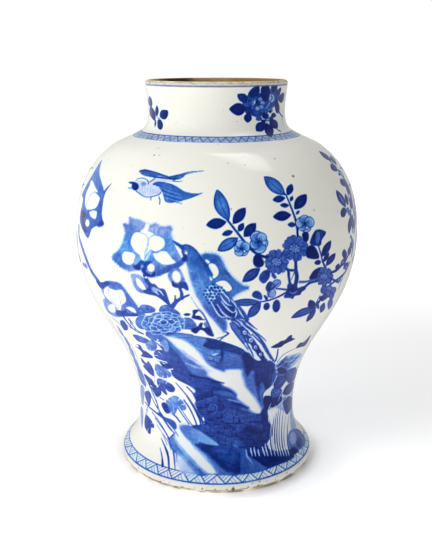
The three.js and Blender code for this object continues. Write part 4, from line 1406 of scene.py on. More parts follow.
def rock_top(brush):
    """The upper crag: blue washes each side of a white ridge."""
    brush.fill(px(168,335, 180,333, 192,335, 206,338, 205,344, 208,350, 206,358, 194,346, 186,341, 176,338),
        0.5, 3 * MM)
    streaks(brush, px(172,336, 186,340, 198,350), px(196,336, 207,341, 209,358), 16, 1.3, (0.36, 0.66), 3)
    brush.fill(px(206,349, 213,350, 221,350, 221,366, 214,366, 208,361), 0.55, 3 * MM)
    cracks(brush, px(211,353, 217,360, 211,359, 218,354), 3.2, (0.42, 0.62), 5)
    brush.stroke(px(212.6,355.6, 215,354.4, 218,353.4), (1, 2.6, 1), 0.16)
    brush.fill(px(224,352, 232,353, 241,356, 241,370, 232,370, 225,371, 222,364), 0.64, 3 * MM)
    streaks(brush, px(224,353, 224,358), px(240,355, 241,361), 6, 1.1, (0.42, 0.56), 8)
    brush.fill(px(203,345, 208,341, 206,339, 214,340, 235,346, 248,353, 246,355, 240,355, 232,352, 208,348),
        0.93, 1.4 * MM)
    streaks(brush, px(224,344, 224,350), px(243,350, 246,354), 7, 1.2, (0.76, 0.88), 11)
    brush.stroke(px(221.6,348, 222.2,354, 222,361), (1.4, 2.4, 1), 0.96)
    soft_fills(brush, (1.6, 0.74, 216,364, 221,364, 224.8,371.6, 221,370.4, 216,367.6),
        (1.6, 0.99, 243,354, 259,359, 259,367, 251,373, 247,376, 245,366),
        (1.6, 0.6, 241,369, 243,368, 247,377, 251,371, 254,371, 255,384, 260,405, 255,397,
        246,386, 243,379))
    streaks(brush, px(241.6,371, 247,386, 255,397), px(246,373, 254,384, 259,400), 9, 1.2, (0.46, 0.72), 13)
    brush.fill(px(255,359, 272,364, 274,380, 265,391, 262,384, 259,388, 256,384, 255,372), 0.93, 1.4 * MM)
    streaks(brush, px(256,360, 272,366), px(257,384, 270,384), 12, 1.3, (0.8, 0.99), 17)
    brush.fill(px(260,384, 263,383, 265,390, 263,398, 264,411, 261,411, 260,402), 0.64, 1.6 * MM)
    # the left flank
    brush.fill(px(170,341, 192,359, 200,363, 212,372, 210,377, 198,376, 190,371, 178,355, 171,348),
        0.56, 3 * MM)
    streaks(brush, px(171,344, 184,360, 192,372), px(190,359, 204,367, 212,375), 18, 1.3, (0.36, 0.7), 19)
    brush.stroke(px(186,363, 194,366.4, 202,369), (1.4, 3, 1.6), 0.28, 2 * MM)
    brush.fill(px(166,352, 170,347, 174,350, 182,361, 185,368, 190,372, 197,384, 196,390, 190,386, 176,378,
        172,374, 170,366, 166,360), 0.78, 1.6 * MM)
    streaks(brush, px(168,352, 174,374), px(180,360, 192,382), 12, 1.4, (0.58, 0.95), 23)
    # the white ridge, feathered along both edges
    ridge = px(165,336, 183,340, 197,350, 209,365, 224,372, 226,370, 240,370, 242,376, 246,387, 254,397,
        261,409, 259,414, 251,411, 248,407, 237,398, 237,394, 230,388, 224,386, 221,383, 209,376,
        206,370, 186,355, 168,339)
    brush.fill(ridge, 0.12, 5 * MM)
    brush.fill(ridge, 0.0, 3 * MM, strength=0.8)
    streaks(brush, px(184,340, 196,349, 208,363), px(190,341.6, 203,354, 212,365.6), 13, 1.6,
        (0.16, 0.36), 29, 0.6)
    streaks(brush, px(174,346, 190,359, 206,371), px(186,353, 200,362, 216,373), 14, 1.5,
        (0.2, 0.42), 31, 0.6)
    streaks(brush, px(226,372, 238,371), px(229,374, 240,376), 5, 1.2, (0.06, 0.16), 37, 0.7)
    # tongues of blue that run into the ridge from below
    for width, tone, *pixels in (
        ((2, 4.2, 4.4, 0.8), 0.95, 190,375, 200,378, 211,381, 224,383),
        ((3, 3.4, 2.4, 0.6), 0.78, 192,382, 204,385, 216,386, 226,387),
        ((2.4, 3, 2.6, 1), 0.88, 206,389, 218,389, 228,390, 236,396),
        ((1.6, 5.6, 5, 1.4), 0.64, 214,392, 223,393, 231,395, 236,398),
        ((0.8, 1.6, 1.8, 1.4, 0.5), 0.38, 212,398, 224,399, 235,401, 244,404, 250,408),
        ((2, 3.4, 2.4, 0.6), 0.97, 222,403, 232,404, 241,405, 248,408),
        ((1.2, 2.4, 2.2, 0.8), 0.46, 230,410, 239,409, 246,410, 251,411),
    ):
        brush.stroke(px(*pixels), width, tone, 1.4 * MM)
    streaks(brush, px(192,376, 196,396), px(216,380, 222,398), 13, 1.1, (0.62, 0.98), 41, 0.6)
    # gaps along the top, under the bird
    brush.fill(px(193,335, 197,333, 201,330, 206,335, 213,337, 217,339, 198,336), 0.0)
    brush.fill(px(223,340, 233,331, 240,345, 229,342), 0.0, rounded=False)
    brush.fill(px(241,345, 243,344, 248,350.6, 250,353, 246,351), 0.06)


def rock_front(brush):
    """The shadowed face, broken into blocks."""
    brush.fill(px(196,389, 208,389, 222,396, 240,408, 254,414, 264,414, 269,424, 268,440, 262,448, 246,448,
        232,444, 206,422, 198,410), 0.84, 2 * MM)
    cracks(brush, px(200,397, 207,394, 201,405, 208,402, 214,400, 204,412, 212,409, 220,407, 206,419,
        213,417, 220,414, 211,425, 219,421, 227,427, 218,429, 226,435, 234,424, 243,419, 252,418, 261,419,
        241,428, 250,427, 260,429, 236,434, 246,436, 256,438, 264,437, 228,441, 240,444, 252,444, 262,445),
        5.2, (0.7, 0.92), 43)
    cracks(brush, px(230,414, 233,419, 228,420), 5, (0.66, 0.74), 47)
    marks(brush, (1.0, 0.6, 209,410, 210.6,405, 214,404, 217,407, 216,412, 212.6,414),
        (1.0, 0.6, 211.6,409, 213.4,407, 215,409), (1.0, 0.97, 219,419, 224,413.6, 228,409.4),
        ((0.8, 1.5, 0.8), 0.98, 221,421, 229,425, 235,430, 237,436),
        (0.9, 0.68, 241,414, 241,420, 247,423, 256,424), (1.0, 0.6, 234.6,411, 234.4,415.6, 239,416.6),
        ((0.8, 1.3, 0.8), 0.97, 205,423, 213,429, 222,433, 229,437),
        ((1.6, 2, 1), 0.68, 208,432, 215,435, 222,440, 230,445),
        ((0.8, 1.8, 0.8), 0.46, 231,444.6, 235,446, 239,449))
    brush.fill(px(244,425, 258,428, 266,434, 264,446, 250,448, 240,442), 0.98, 7 * MM, strength=0.7)
    brush.fill(px(261,412, 266,408, 268,416, 271,430, 266,440, 262,424), 0.93, 2 * MM)


def rock_foot(brush):
    """The low boulder before the crag, with its own white ridge."""
    brush.fill(px(194,430, 206,424, 220,434, 234,446, 240,450, 244,462, 243,473, 228,475, 217,465, 197,445),
        0.82, 2 * MM)
    cracks(brush, px(206,429, 213,433, 221,440, 214,439, 227,445), 4.6, (0.68, 0.86), 53)
    brush.fill(px(181,426, 186,424, 195,429, 200,431, 219,445, 206,444, 200,442, 196,445, 190,440, 182,430),
        ((184, 434), (206, 438), 0.56, 0.36), 1.4 * MM)
    streaks(brush, px(182,428, 192,441), px(206,436, 204,443), 8, 1.1, (0.34, 0.6), 59, 0.5)
    soft_fills(brush, (1.6, 0.96, 195,444, 223,447, 239,453, 241,462, 240,472, 226,470, 212,457, 198,447),
        (5, 0.8, 212,448, 224,448, 236,452, 239,460, 230,462, 220,458))
    streaks(brush, px(208,450, 226,468), px(232,452, 240,470), 12, 1.6, (0.8, 0.99), 61, 0.6)
    soft_fills(brush, (1.6, 0.74, 241,450, 246,449, 247,460, 252,470, 248,473, 241,473),
        (1.6, 0.56, 200,451, 206,454, 222,469, 230,474, 219,475, 216,469, 205,457))
    brush.fill(px(169,441, 171,437, 174,436, 178,443, 190,458, 207,474, 199,475, 192,467, 172,447),
        ((174, 446), (202, 472), 0.5, 0.66), 1.6 * MM)
    brush.fill(px(176,453, 183,457, 190,465, 198,474, 186,474, 179,470, 175,462),
        ((178, 458), (196, 473), 0.1, 0.3), 5 * MM)
    streaks(brush, px(172,440, 186,458), px(184,452, 200,470), 10, 1.3, (0.2, 0.5), 67, 0.6)
    brush.fill(px(178,424, 182,421, 186,423, 181,426, 181,430, 188,439, 202,453, 216,470, 216,474, 208,474,
        195,463, 176,441, 175,431), 0.04, 4 * MM)
    streaks(brush, px(184,436, 206,458), px(192,444, 214,468), 8, 1.2, (0.16, 0.34), 71, 0.5)
    brush.stroke(px(180,424.6, 186,424, 192,426), (1.4, 2, 1), 0.14)
    # the ledge at the right
    soft_fills(brush, (1.2, 0.98, 249,453, 280,456, 291,454, 294,457, 283,463, 265,467, 257,461),
        (1.4, 0.64, 247,456, 261,464, 267,468, 262,471, 254,472, 250,468))
    brush.stroke(px(246,450, 247,456, 250,460, 253,464), (1.6, 2, 1.4, 0.6), 0.34)


def grasses(brush):
    marks(brush, ((1.2, 1.6, 1), 0.8, 156,400, 160,413, 170,428, 174,433),
        (1.2, 0.76, 152,412, 160,423, 167,435, 170,441), (1.1, 0.74, 155,418, 163,429, 169,438),
        (1.0, 0.7, 163,419, 169,428, 174,433), (1.6, 0.85, 174,415, 177,418, 180,422),
        (1.2, 0.7, 178,408, 184,417, 189,424), (0.9, 0.6, 181,409, 187,418, 192,425),
        (1.3, 0.88, 184,400, 190,409, 195,420, 197,426), (1.5, 0.88, 187,396, 193,406, 199,418, 201,425),
        ((1, 1.4, 1.6), 0.8, 176,383, 183,391, 190,400, 199,415, 203,424),
        (1.4, 0.84, 187,387, 192,392, 196,398), ((0.6, 2.4, 1.6), 0.84, 161,438, 165,447, 168,456, 169,468),
        ((0.6, 1.2, 2.8), 0.86, 160,448, 162,457, 162.6,466),
        ((2, 2, 1), 0.66, 168,438, 172,447, 174,456, 175,469),
        ((1, 1.4, 0.6), 0.5, 172,446, 176,453, 177,462), (0.8, 0.6, 163,434, 168,442, 171,450),
        (0.8, 0.55, 157,425, 163,435, 167,445), (0.9, 0.6, 171,426, 175,431, 178,436),
        ((1.2, 1.8, 1), 0.0, 203,417.4, 203.8,420.6))
    reeds(brush)


def reeds(brush):
    """The clump of water reeds before the ledge: pale blades over blue."""
    soft_fills(brush, (1.2, 0.04, 271,418, 274,411, 280,405, 288,404, 291,412, 289,440, 289,446, 271,444,
        271,424), (2, 0.3, 290,408, 292,406, 294,416, 296,427, 291,430, 290,420))
    for x, y, width in (
        (272, 424, 1.1), (274, 417, 1.3), (276.4, 413, 1.4), (278.6, 410, 1.2), (280.8, 408, 0.9),
        (283.4, 410, 1.2), (285.6, 416, 0.7), (289, 414, 1.4),
    ):
        brush.stroke([(x, y), (x - 1.4, y + 12), (x - 1.8, 437), (x - 0.8, 447), (x + 2.2, 456)],
            (0.5, width, 1.2 * width, 1.2 * width), 0.94)
    for x, y in (
        (272.6, 436), (269.2, 440), (265.4, 444), (262.4, 447), (276, 443), (278.6, 443), (281.2, 443),
        (284, 443), (286.6, 443),
    ):
        brush.stroke([(x, y), (x - 0.2, 0.5 * y + 223.6), (x + 2.6, 456)], (1.0, 1.7, 0.7), 0.06)
    for x, top in ((250.6, 448), (254, 447.6), (258, 449.4)):
        brush.stroke([(x, top), (x + 0.4, top + 3), (x + 1.6, 456)], (1.2, 1.7, 0.8), 0.1)
    alike(brush, (0.8, 1.5, 0.6), 0.1, (273,401, 270.6,406, 268.4,412), (277,402, 274.4,407, 271.6,412),
        (286,398, 280,405, 275,412), (269.4,416, 268.4,419, 269.4,423))
    # the round stone at the foot
    brush.fill(px(288,436, 291,430, 296,429, 302,433, 305,439, 304,446, 298,450, 290,449), 0.56, 1.2 * MM)
    brush.stroke(px(296,429, 301,432, 304,438), (1.6, 2.8, 1.4), 0.86)
    brush.fill(oval((299, 442.4), 3, 5.6), 0.84, 3 * MM)
    brush.fill(oval((292.8, 438), 3.6, 6.6), 0.3, 2.4 * MM)
    brush.fill(px(290.4,449.4, 294,447, 299,451, 294,453.6), 0.98)


def right_plant(brush):
    marks(brush, (0, 0.94, 271,347, 278,343, 281,341, 285,340, 289,336, 292,335, 292,338, 295,339, 285,344,
        281,347, 275,348), (0, 0.88, 296,348, 300,343, 304,342, 311,335, 306,345, 301,347),
        ((1.2, 1.8, 2), 0.8, 278,349, 277,356, 275.4,361),
        ((0.9, 1.2, 1.4), 0.5, 298,347, 290,351, 283,355, 277,362),
        (1.2, 0.8, 270,354, 272.6,358.6, 274.6,362))
    # the seeding grass by the edge
    brush.fill(px(275,366, 279,361, 294,354, 301,353, 301,357, 290,369, 281,371, 276,370), 0.2, 1.2 * MM)
    streaks(brush, px(275,367, 284,372), px(288,354, 302,354), 30, 1.3, (0.8, 1.0), 73, 1.0)
    streaks(brush, px(279,361, 290,369), px(292,356, 301,360), 10, 0.9, (0.0, 0.1), 79, 1.0)
    # leaves lying over one another, with light left between them
    brush.fill(px(274,372, 282,367, 297,370, 294,384, 291,400, 288,412, 276,408, 266,410, 264,398, 270,388),
        0.46, 2 * MM, strength=0.5)
    for tone, *pixels in (
        (0.06, 264,393, 268,389, 274,385.4, 273,390, 272,394, 275,396, 264,395.6),
        (0.06, 283,383, 286,379, 288,383, 282,397, 279,400, 280,392),
        (0.62, 275,374, 284,373, 289,378, 277,388, 274,383),
        (0.95, 277,369.6, 281,367.4, 285,369, 287,372, 281.6,373.6),
        (0.76, 286,372, 291,369, 296,368, 296,375, 292,382, 288,382, 286,377),
        (0.8, 274,384, 275.6,379, 280,376.6, 285.4,376, 286,379, 283,385, 279,389, 274.6,389.6),
        (0.68, 271,393, 273,388.6, 278,388, 282,391, 281,396.4, 277,399.6, 272,397.6),
        (0.88, 283,393.6, 285.4,387, 290,383.6, 294,383.4, 292.6,389, 288.6,394),
        (0.97, 264,397, 268,396, 272,398, 271,406, 267,410, 264,405),
        (0.95, 271,401, 275,397.6, 281.4,396.8, 281,401.4, 275.6,406, 270.6,406.6),
        (0.84, 283,400, 287,397, 292,398, 292,406, 287,414, 284,408),
    ):
        petal(brush, px(*pixels), tone, 0.97 if tone > 0.5 else None, 0.7)
    for width, tone, *pixels in (
        (0.8, 0.5, 287,371, 291,374, 290.4,381), (0.9, 0.5, 276,387, 280,382.6, 284,378),
        (1, 0.4, 273,395, 277,392, 280,391), (0.8, 0.6, 286,392, 289,388, 292,385),
        (0.8, 0.55, 286,401, 288.4,406, 287.6,411), (1.3, 0.08, 286,380, 284,387, 281,394, 278,401),
        (1.2, 0.08, 293,391, 288,396, 283,401, 279,404), (1.2, 0.1, 277,374, 275.6,379, 273,384),
        (1.3, 0.08, 271,403, 268.6,409, 267.6,413), (1.2, 0.08, 276,405, 272,410, 270,415),
    ):
        brush.stroke(px(*pixels), (0.4 * width, width, 0.5 * width), tone)


class RingSheet:
    """Places degrees round the vase, and rows of the photograph read down its middle, on the wall."""

    ROWS = (80, 492)

    def __init__(self, wall):
        self.rows = np.arange(*self.ROWS, 0.5)
        middle = np.column_stack([np.full(len(self.rows), PHOTO_CENTRE[0]), self.rows])
        self.along = PhotoSheet(wall).to_wall(middle)[:, 1]

    def to_wall(self, points):
        points = np.asarray(points, float)
        return np.column_stack([np.radians(points[:, 0]), np.interp(points[:, 1], self.rows, self.along)])


def ring(brush, row, width, tone, sway=0.0, layer="cobalt"):
    """A line all the way round, which may sway a little up and down."""
    turns = np.linspace(-180, 180, 145)
    path = np.column_stack([turns, row + sway * np.sin(np.radians(turns * 9))])
    brush.stroke(path, width, tone, round_path=False, layer=layer)


def hatched_band(brush, top, bottom, count, wash, tone, width):
    """A border of triangles that point up and down in turn, each hatched in white and blue."""
    random = np.random.default_rng(count)
    ring(brush, (top + bottom) / 2, width, wash)
    ring(brush, (top + bottom) / 2, 1.4 * width, -0.9, layer="hue")
    step = 360 / count
    for k in range(count):
        start = -180 + step * (k + random.uniform(-0.08, 0.08))
        turn = start + step * random.uniform(0.36, 0.5)
        for share in (0.14, 0.26, 0.38, 0.5, 0.62, 0.74, 0.86):
            t = share + random.uniform(-0.03, 0.03)
            shade = tone * random.uniform(0.5, 0.8) if round(share * 50) % 12 == 1 else 0.02
            down = top + (bottom - top) * t
            brush.stroke([(start + (turn - start) * t, down), (start + step * t, top)], 0.6, shade)
            back = turn + (start + step - turn) * t
            brush.stroke([(back, bottom - (bottom - top) * t), (turn + step * 0.9 * t, bottom)], 0.6, shade)
        brush.stroke([(start, top), (turn, bottom)], 0.9, tone)
        brush.stroke([(turn, bottom), (start + step, top)], 0.9, tone - 0.04)


def neck_band(brush):
    ring(brush, 83.4, 4.4, 0.24, 0.2, "iron")
    random = np.random.default_rng(83)
    for k in range(60):
        turn = 6 * k + random.uniform(0, 6) - 180
        row = random.uniform(82.4, 84.8)
        far = turn + random.uniform(0.3, 3)
        brush.stroke([(turn, row), (far, row)], random.uniform(0.8, 2), random.uniform(0.3, 0.6),
            1.2 * MM, layer="iron")
    ring(brush, 86.5, 1.1, 0.36, 0.1)
    ring(brush, 86.4, 1.6, 0.5, 0.1, "iron")
    hatched_band(brush, 137.6, 142.2, 64, 0.2, 0.64, 4.6)
    ring(brush, 140, 5.6, 0.34, layer="iron")
    ring(brush, 137.2, 1.1, 0.72, 0.15)
    ring(brush, 142.4, 0.8, 0.6, 0.15)


def foot_band(brush):
    hatched_band(brush, 475, 484, 36, 0.03, 0.82, 6.6)
    ring(brush, 480, 8.6, 0.06, layer="iron")
    ring(brush, 474.6, 0.9, 0.8, 0.1)
    ring(brush, 484.2, 1.2, 0.8, 0.1)


def foot_rim(brush):
    """The foot's cream edge with rust-brown spots, and a patchy bottom line of burnt clay and painted
    contact shade.
    """
    random = np.random.default_rng(211)
    ring(brush, 489, 7.4, 0.13, layer="iron")
    for k in range(90):
        turn = 4 * k + random.uniform(0, 4) - 180
        row = random.uniform(485.6, 491)
        brush.stroke([(turn, row), (turn + random.uniform(0.1, 0.6), row)], random.uniform(0.4, 1.5),
            random.uniform(0.3, 0.9), layer="iron")
    # the dark bottom line: partly burnt clay, partly painted contact shade
    for k in range(120):
        turn = 3 * k - 180
        if random.random() < 0.84:
            brush.stroke([(turn, 491.4), (turn + random.uniform(1.5, 4), 491.4)], random.uniform(1.0, 2.5),
                random.uniform(0.6, 1.0), layer="iron")


def iron_specks(brush):
    for x, y, size, tone in (
        (293, 176, 2.2, 1.0), (231, 209, 1.3, 0.7), (314, 210, 1.3, 0.7), (154, 155, 1.6, 0.8),
        (159, 155, 1.2, 0.6), (158, 148, 1.2, 0.6), (228, 163, 1.2, 0.5), (274.5, 158.5, 1.4, 0.7),
        (245, 165, 1.1, 0.5), (218, 144, 1.2, 0.4), (306.5, 462, 1.6, 0.8), (149.5, 477.5, 1.5, 0.9),
        (160.5, 481.5, 1.5, 0.9), (165, 486.5, 1.6, 0.9), (182, 487, 1.8, 0.8), (202, 489, 1.6, 0.9),
        (215, 489.5, 1.6, 0.8), (233, 489, 3, 1.0), (248, 487, 1.5, 0.9), (258, 485, 1.6, 0.9),
    ):
        brush.stroke([(x, y), (x + 0.4, y + 0.2)], size, tone, layer="iron")


def cobalt_hues(brush):
    """Where the cobalt fired violet, above 0, and where it fired sky blue, below."""
    for x, y, across, up, hue in (
        (150, 380, 22, 46, 0.9), (160, 292, 22, 14, 1.0), (116, 312, 20, 9, 0.9), (98, 272, 12, 18, 0.8),
        (200, 322, 10, 12, 0.7), (164, 324, 26, 14, -0.4), (180, 366, 14, 20, 0.7), (292, 288, 18, 14, 0.8),
        (330, 290, 14, 20, 0.7), (278, 262, 13, 12, 0.5), (284, 386, 14, 24, 0.7), (342, 190, 12, 30, 0.6),
        (262, 380, 12, 18, 0.5), (140, 267, 12, 5, 0.9), (180, 284, 8, 6, 0.9), (144, 244, 34, 22, -1.0),
        (206, 272, 20, 28, -1.0), (243, 282, 12, 18, -0.8), (217, 206, 14, 20, -1.0),
        (230, 242, 16, 10, -0.9), (280, 186, 18, 12, -0.9), (256, 242, 14, 14, -0.8),
        (165, 188, 44, 18, -1.0), (146, 226, 26, 7, 0.5), (176, 464, 12, 12, 0.6), (92, 205, 16, 30, -0.6),
        (158, 114, 14, 22, -0.9), (204, 346, 40, 10, -0.6), (214, 450, 40, 18, -0.7),
        (256, 102, 24, 20, -0.4), (305, 223, 12, 12, -0.5), (160, 370, 8, 8, -0.4), (174, 403, 8, 8, -0.6),
        (300, 360, 14, 8, -0.5),
    ):
        brush.fill(oval((x, y), across, up), hue, 16 * MM, layer="hue")


def scene_of_birds(brush):
    """The flowering rock with its pheasant, from the left edge to the right."""
    cobalt_hues(brush)
    left_edge_magnolia(brush)
    second_magnolia(brush.thinned(0.92))
    main_magnolia(brush.thinned(0.84))
    magnolia_behind(brush.thinned(0.9))
    right_edge_sprays(brush)
    gnarled_branch(brush.thinned(0.92))
    pheasant(brush.thinned(0.86))
    right_prunus_twig(brush)
    left_prunus_twig(brush)
    peony(brush)
    rock(brush.thinned(0.95))
    tail_tips(brush)
    left_foliage(brush.thinned(0.92))
    grasses(brush)
    right_plant(brush)
    neck_sprays(brush)
    swallow(brush)


def side_tree(brush):
    """A flowering tree on its own, from the foot to the shoulder."""
    trunk = px(290,296, 284,322, 291,348, 284,382, 293,420, 288,456)
    brush.stroke(trunk, (5, 6.4, 7, 8, 9, 13), 0.72)
    for side in (-1.4, 1.6):
        brush.stroke([(x + side * (1 + (y - 296) / 160), y + 4) for x, y in trunk], (0.6, 1.6, 2, 1.4, 2.4),
            0.9 if side > 0 else 0.4, 1.2 * MM)
    marks(brush, ((3.4, 2.6, 2, 1.2), 0.8, 288,352, 300,338, 312,332, 324,322),
        ((3.6, 2.6, 2, 1.2), 0.8, 286,386, 272,374, 262,372, 252,362))
    leaves(brush, (312, 332, 318, 344, 7.4, 0.88), (318, 327, 322, 311, 7.4, 0.88),
        (324, 322, 338, 318, 7.4, 0.88), (266, 373, 262, 386, 7.4, 0.88), (258, 367, 258, 352, 7.4, 0.88),
        (252, 362, 238, 358, 7.4, 0.88), (302, 337, 306, 350, 7.4, 0.88))
    blossom(brush, (308, 326), 9.6, 20)
    blossom(brush, (268, 366), 9, 50)
    for k in range(15):
        root, lean = 262 + 4 * k, 0.9 * (k - 7)
        tall = 22 + 14 * abs(math.sin(1.9 * k))
        brush.stroke([(root, 462), (root + 0.4 * lean, 462 - 0.6 * tall), (root + 1.6 * lean, 462 - tall)],
            (2, 1.6, 0.6), 0.62 + 0.2 * math.sin(2.7 * k))
    gnarled_branch(brush)
    right_prunus_twig(brush)
    left_prunus_twig(brush)


SIDE_TURN = 97
TREE_HEIGHT, TREE_SCALE = 0.166, 0.78
SWALLOW_HEIGHT, SWALLOW_SCALE = 0.293, 0.8


def paint(brush, wall):
    """The borders, the scene on the front and on the back, a tree and a swallow on each side, specks."""
    rings = brush.on(RingSheet(wall))
    neck_band(rings)
    foot_band(rings)
    foot_rim(rings)
    scene_of_birds(brush)
    scene_of_birds(brush.on(PhotoSheet(wall, math.pi)))
    for turn, mirror in ((SIDE_TURN, False), (-SIDE_TURN, True)):
        side_tree(brush.on(WallSheet(wall, (290, 296), turn, TREE_HEIGHT, TREE_SCALE, mirror)))
        near = WallSheet(wall, (165, 188), turn * 0.9, SWALLOW_HEIGHT, SWALLOW_SCALE, not mirror)
        swallow(brush.on(near))
    iron_specks(brush)


# The vase


turned_wall = turned_wall_tree()


def wobble(turn, along):
    """How far the hand-turned wall strays from true, in metres."""
    waves = ((1, 2, 0.6, 9), (0.7, 3, -1.9, 21), (0.5, 5, 0, 34))
    return WOBBLE * sum(
        share * np.sin(count * turn + start + climb * along) for share, count, start, climb in waves)


def glaze_bands(wall):
    """Rings of the glaze with about the same area each."""
    area = np.concatenate([[0], np.cumsum(np.diff(wall.along) * (wall.radius[1:] + wall.radius[:-1]) / 2)])
    cuts = np.interp(np.linspace(0, area[-1], BAND_COUNT + 1), area, wall.along)
    return [Band(wall, low, high) for low, high in zip(cuts[:-1], cuts[1:])]


def glaze_piece(name, wall, band, finish):
    """A ring of glaze with its painting held on the points of its outer face."""
    height = np.interp(band.along, wall.along, wall.height)
    slope = np.gradient(height, band.along)
    lean = np.gradient(band.radius, band.along)
    steep = np.hypot(slope, lean)
    back = np.unique(np.append(np.arange(0, len(height), INNER_ROW_STEP), len(height) - 1))[::-1]
    inner_r = (band.radius - GLAZE_DEPTH * slope / steep)[back]
    inner_z = (height + GLAZE_DEPTH * lean / steep)[back]
    outline = np.concatenate([np.column_stack([band.radius, height]), np.column_stack([inner_r, inner_z])])
    piece = turned_piece(name, outline, band.columns, finish)
    mesh = piece.data
    row, column = point_values(mesh, "row"), point_values(mesh, "column")
    along = np.concatenate([band.along, band.along[back]])[row]
    turn = band.turn[column]
    place = np.zeros(len(mesh.vertices) * 3)
    mesh.vertices.foreach_get("co", place)
    place = place.reshape(-1, 3)
    place[:, 0] += wobble(turn, along) * np.sin(turn)
    place[:, 1] -= wobble(turn, along) * np.cos(turn)
    mesh.vertices.foreach_set("co", place.ravel())
    outside = row < len(height)
    for layer, values in band.layers.items():
        painted = np.zeros(len(row), np.float32)
        painted[outside] = values[row[outside], column[outside]]
        mesh.attributes.new(layer, "FLOAT", "POINT").data.foreach_set("value", painted)
    mesh.update()
    return piece


line = curved(outer_line(meridian("outer_glaze")), LINE_STEP)
wall = Wall(line[:, 0], line[:, 1])
bands = glaze_bands(wall)
paint(Brush(bands, PhotoSheet(wall)), wall)
glaze = painted_glaze()
for number, band in enumerate(bands, 1):
    belongs(glaze_piece(f"painted_glaze_{number}", wall, band, glaze), "outer_glaze", "outer_glaze")

pale_glaze = plain_glaze("inside_glaze", (228, 228, 220))
inner_line = subdivided(meridian("inner_glaze"), INSIDE_STEP)
inside = turned_piece("inside_glaze", inner_line, ROUND_STEPS, pale_glaze)
belongs(inside, "inner_glaze", "inner_glaze")

foot_clay = bare_clay("foot_clay", (236, 228, 204), (170, 138, 96), 0.5, scorch_and_shade=3.2 * MM)
foot_line = subdivided(meridian("foot_section"), FOOT_STEP)
foot = turned_piece("foot_biscuit", foot_line, ROUND_STEPS, foot_clay)
belongs(foot, "biscuit_foot", "foot_section")

lip_line = meridian("neck_and_lip")
lip_top = lip_line[:, 1].max()
lip_radius = lip_line[lip_line[:, 1] > lip_top - 3 * MM, 0].max()
lip_clay = worn_lip_clay(lip_radius, (-0.045, 0.048, lip_top))
lip = turned_piece("lip_biscuit", subdivided(lip_line, LIP_STEP), ROUND_STEPS, lip_clay)
belongs(lip, "biscuit_lip", "neck_and_lip")

body_clay = bare_clay("body_clay", (232, 225, 208), (200, 184, 156), 0.2)
slip = slip_clay()
for node, finish in (
    ("base_plate", body_clay), ("lower_body", body_clay), ("upper_body", body_clay),
    ("base_slip", slip), ("waist_slip", slip), ("belly_slip", slip), ("neck_slip", slip),
    ("base_glaze", plain_glaze("underside_glaze", (226, 228, 222))),
):
    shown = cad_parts[node]
    shown.data.materials.clear()
    shown.data.materials.append(finish)


# Floor, light and camera


AMBIENT = 0.275
ROOM_SHINE = 0.12
BACKDROP_SHINE = 0.6
LEFT_SHINE = 0.35
RIGHT_DIM = 0.45

FLOOR_SIZE = 6.0
FLOOR_PAPER = {"Base Color": (0.86, 0.86, 0.86, 1), "Roughness": 0.9, "Specular IOR Level": 0.1}
FLOOR_SHINE = 0.5
FLOOR_LEFT_SHINE = 0.4
FLOOR_BOUNCE = 0.555
FLOOR_LIFT = 0.42
# Painted light and shade on the floor: a brighter glow in front of the vase, and painted shadow by the foot
# and on its right
FRONT_LIFT = 0.6
CONTACT_SHADOW_DARK = (0.4, 0.6)
PAINTED_SHADE_DARK = 0.45

# Where the floor changes, in metres from the axis, behind it or round it
FLOOR_FADE = (0.5, 1.3)
SHINE_FADE = (0.15, 1.1)
CONTACT_SHADOW_FADE = (0.1, 0.116)
PAINTED_SHADE_FADE = (0.1, 0.18)
BACK_FADE = (-0.6, 0.8)
FRONT_FADE = (-0.17, 0.0)
UNDER_FADE = (-0.07, 0.04)
LEFT_SIDE = (-0.7, 0.0)
RIGHT_SIDE = (-0.1, 0.6)
LAMP_AIM = (0, 0, 0.2)

# Name, place, size, power, and whether the glaze shows it
LAMPS = (
    ("key", (-1.35, -1.35, 1.75), (0.7, 0.7), 17.5, False),
    ("left_window", (-1.65, -0.7, 1.05), (1.0, 1.0), 12.7, False),
    ("low_front", (-0.3, -2.4, 0.35), (2.0, 0.6), 5.75, False),
    ("ceiling", (0.36, 0.26, 1.7), (1.1, 0.4), 6.3, True),
)


def light_paths(link):
    """Whether a ray comes from the camera, from shine, or through something clear."""
    outputs = link.add("ShaderNodeLightPath").socket.node.outputs
    rays = ("Is Camera Ray", "Is Glossy Ray", "Is Transmission Ray")
    return [Link(link.tree, outputs[name]) for name in rays]


def room_shine(behind):
    """What shine shows: the pale backdrop where behind is 1, and the dimmer room where it is 0."""
    return ROOM_SHINE + (BACKDROP_SHINE - ROOM_SHINE) * behind


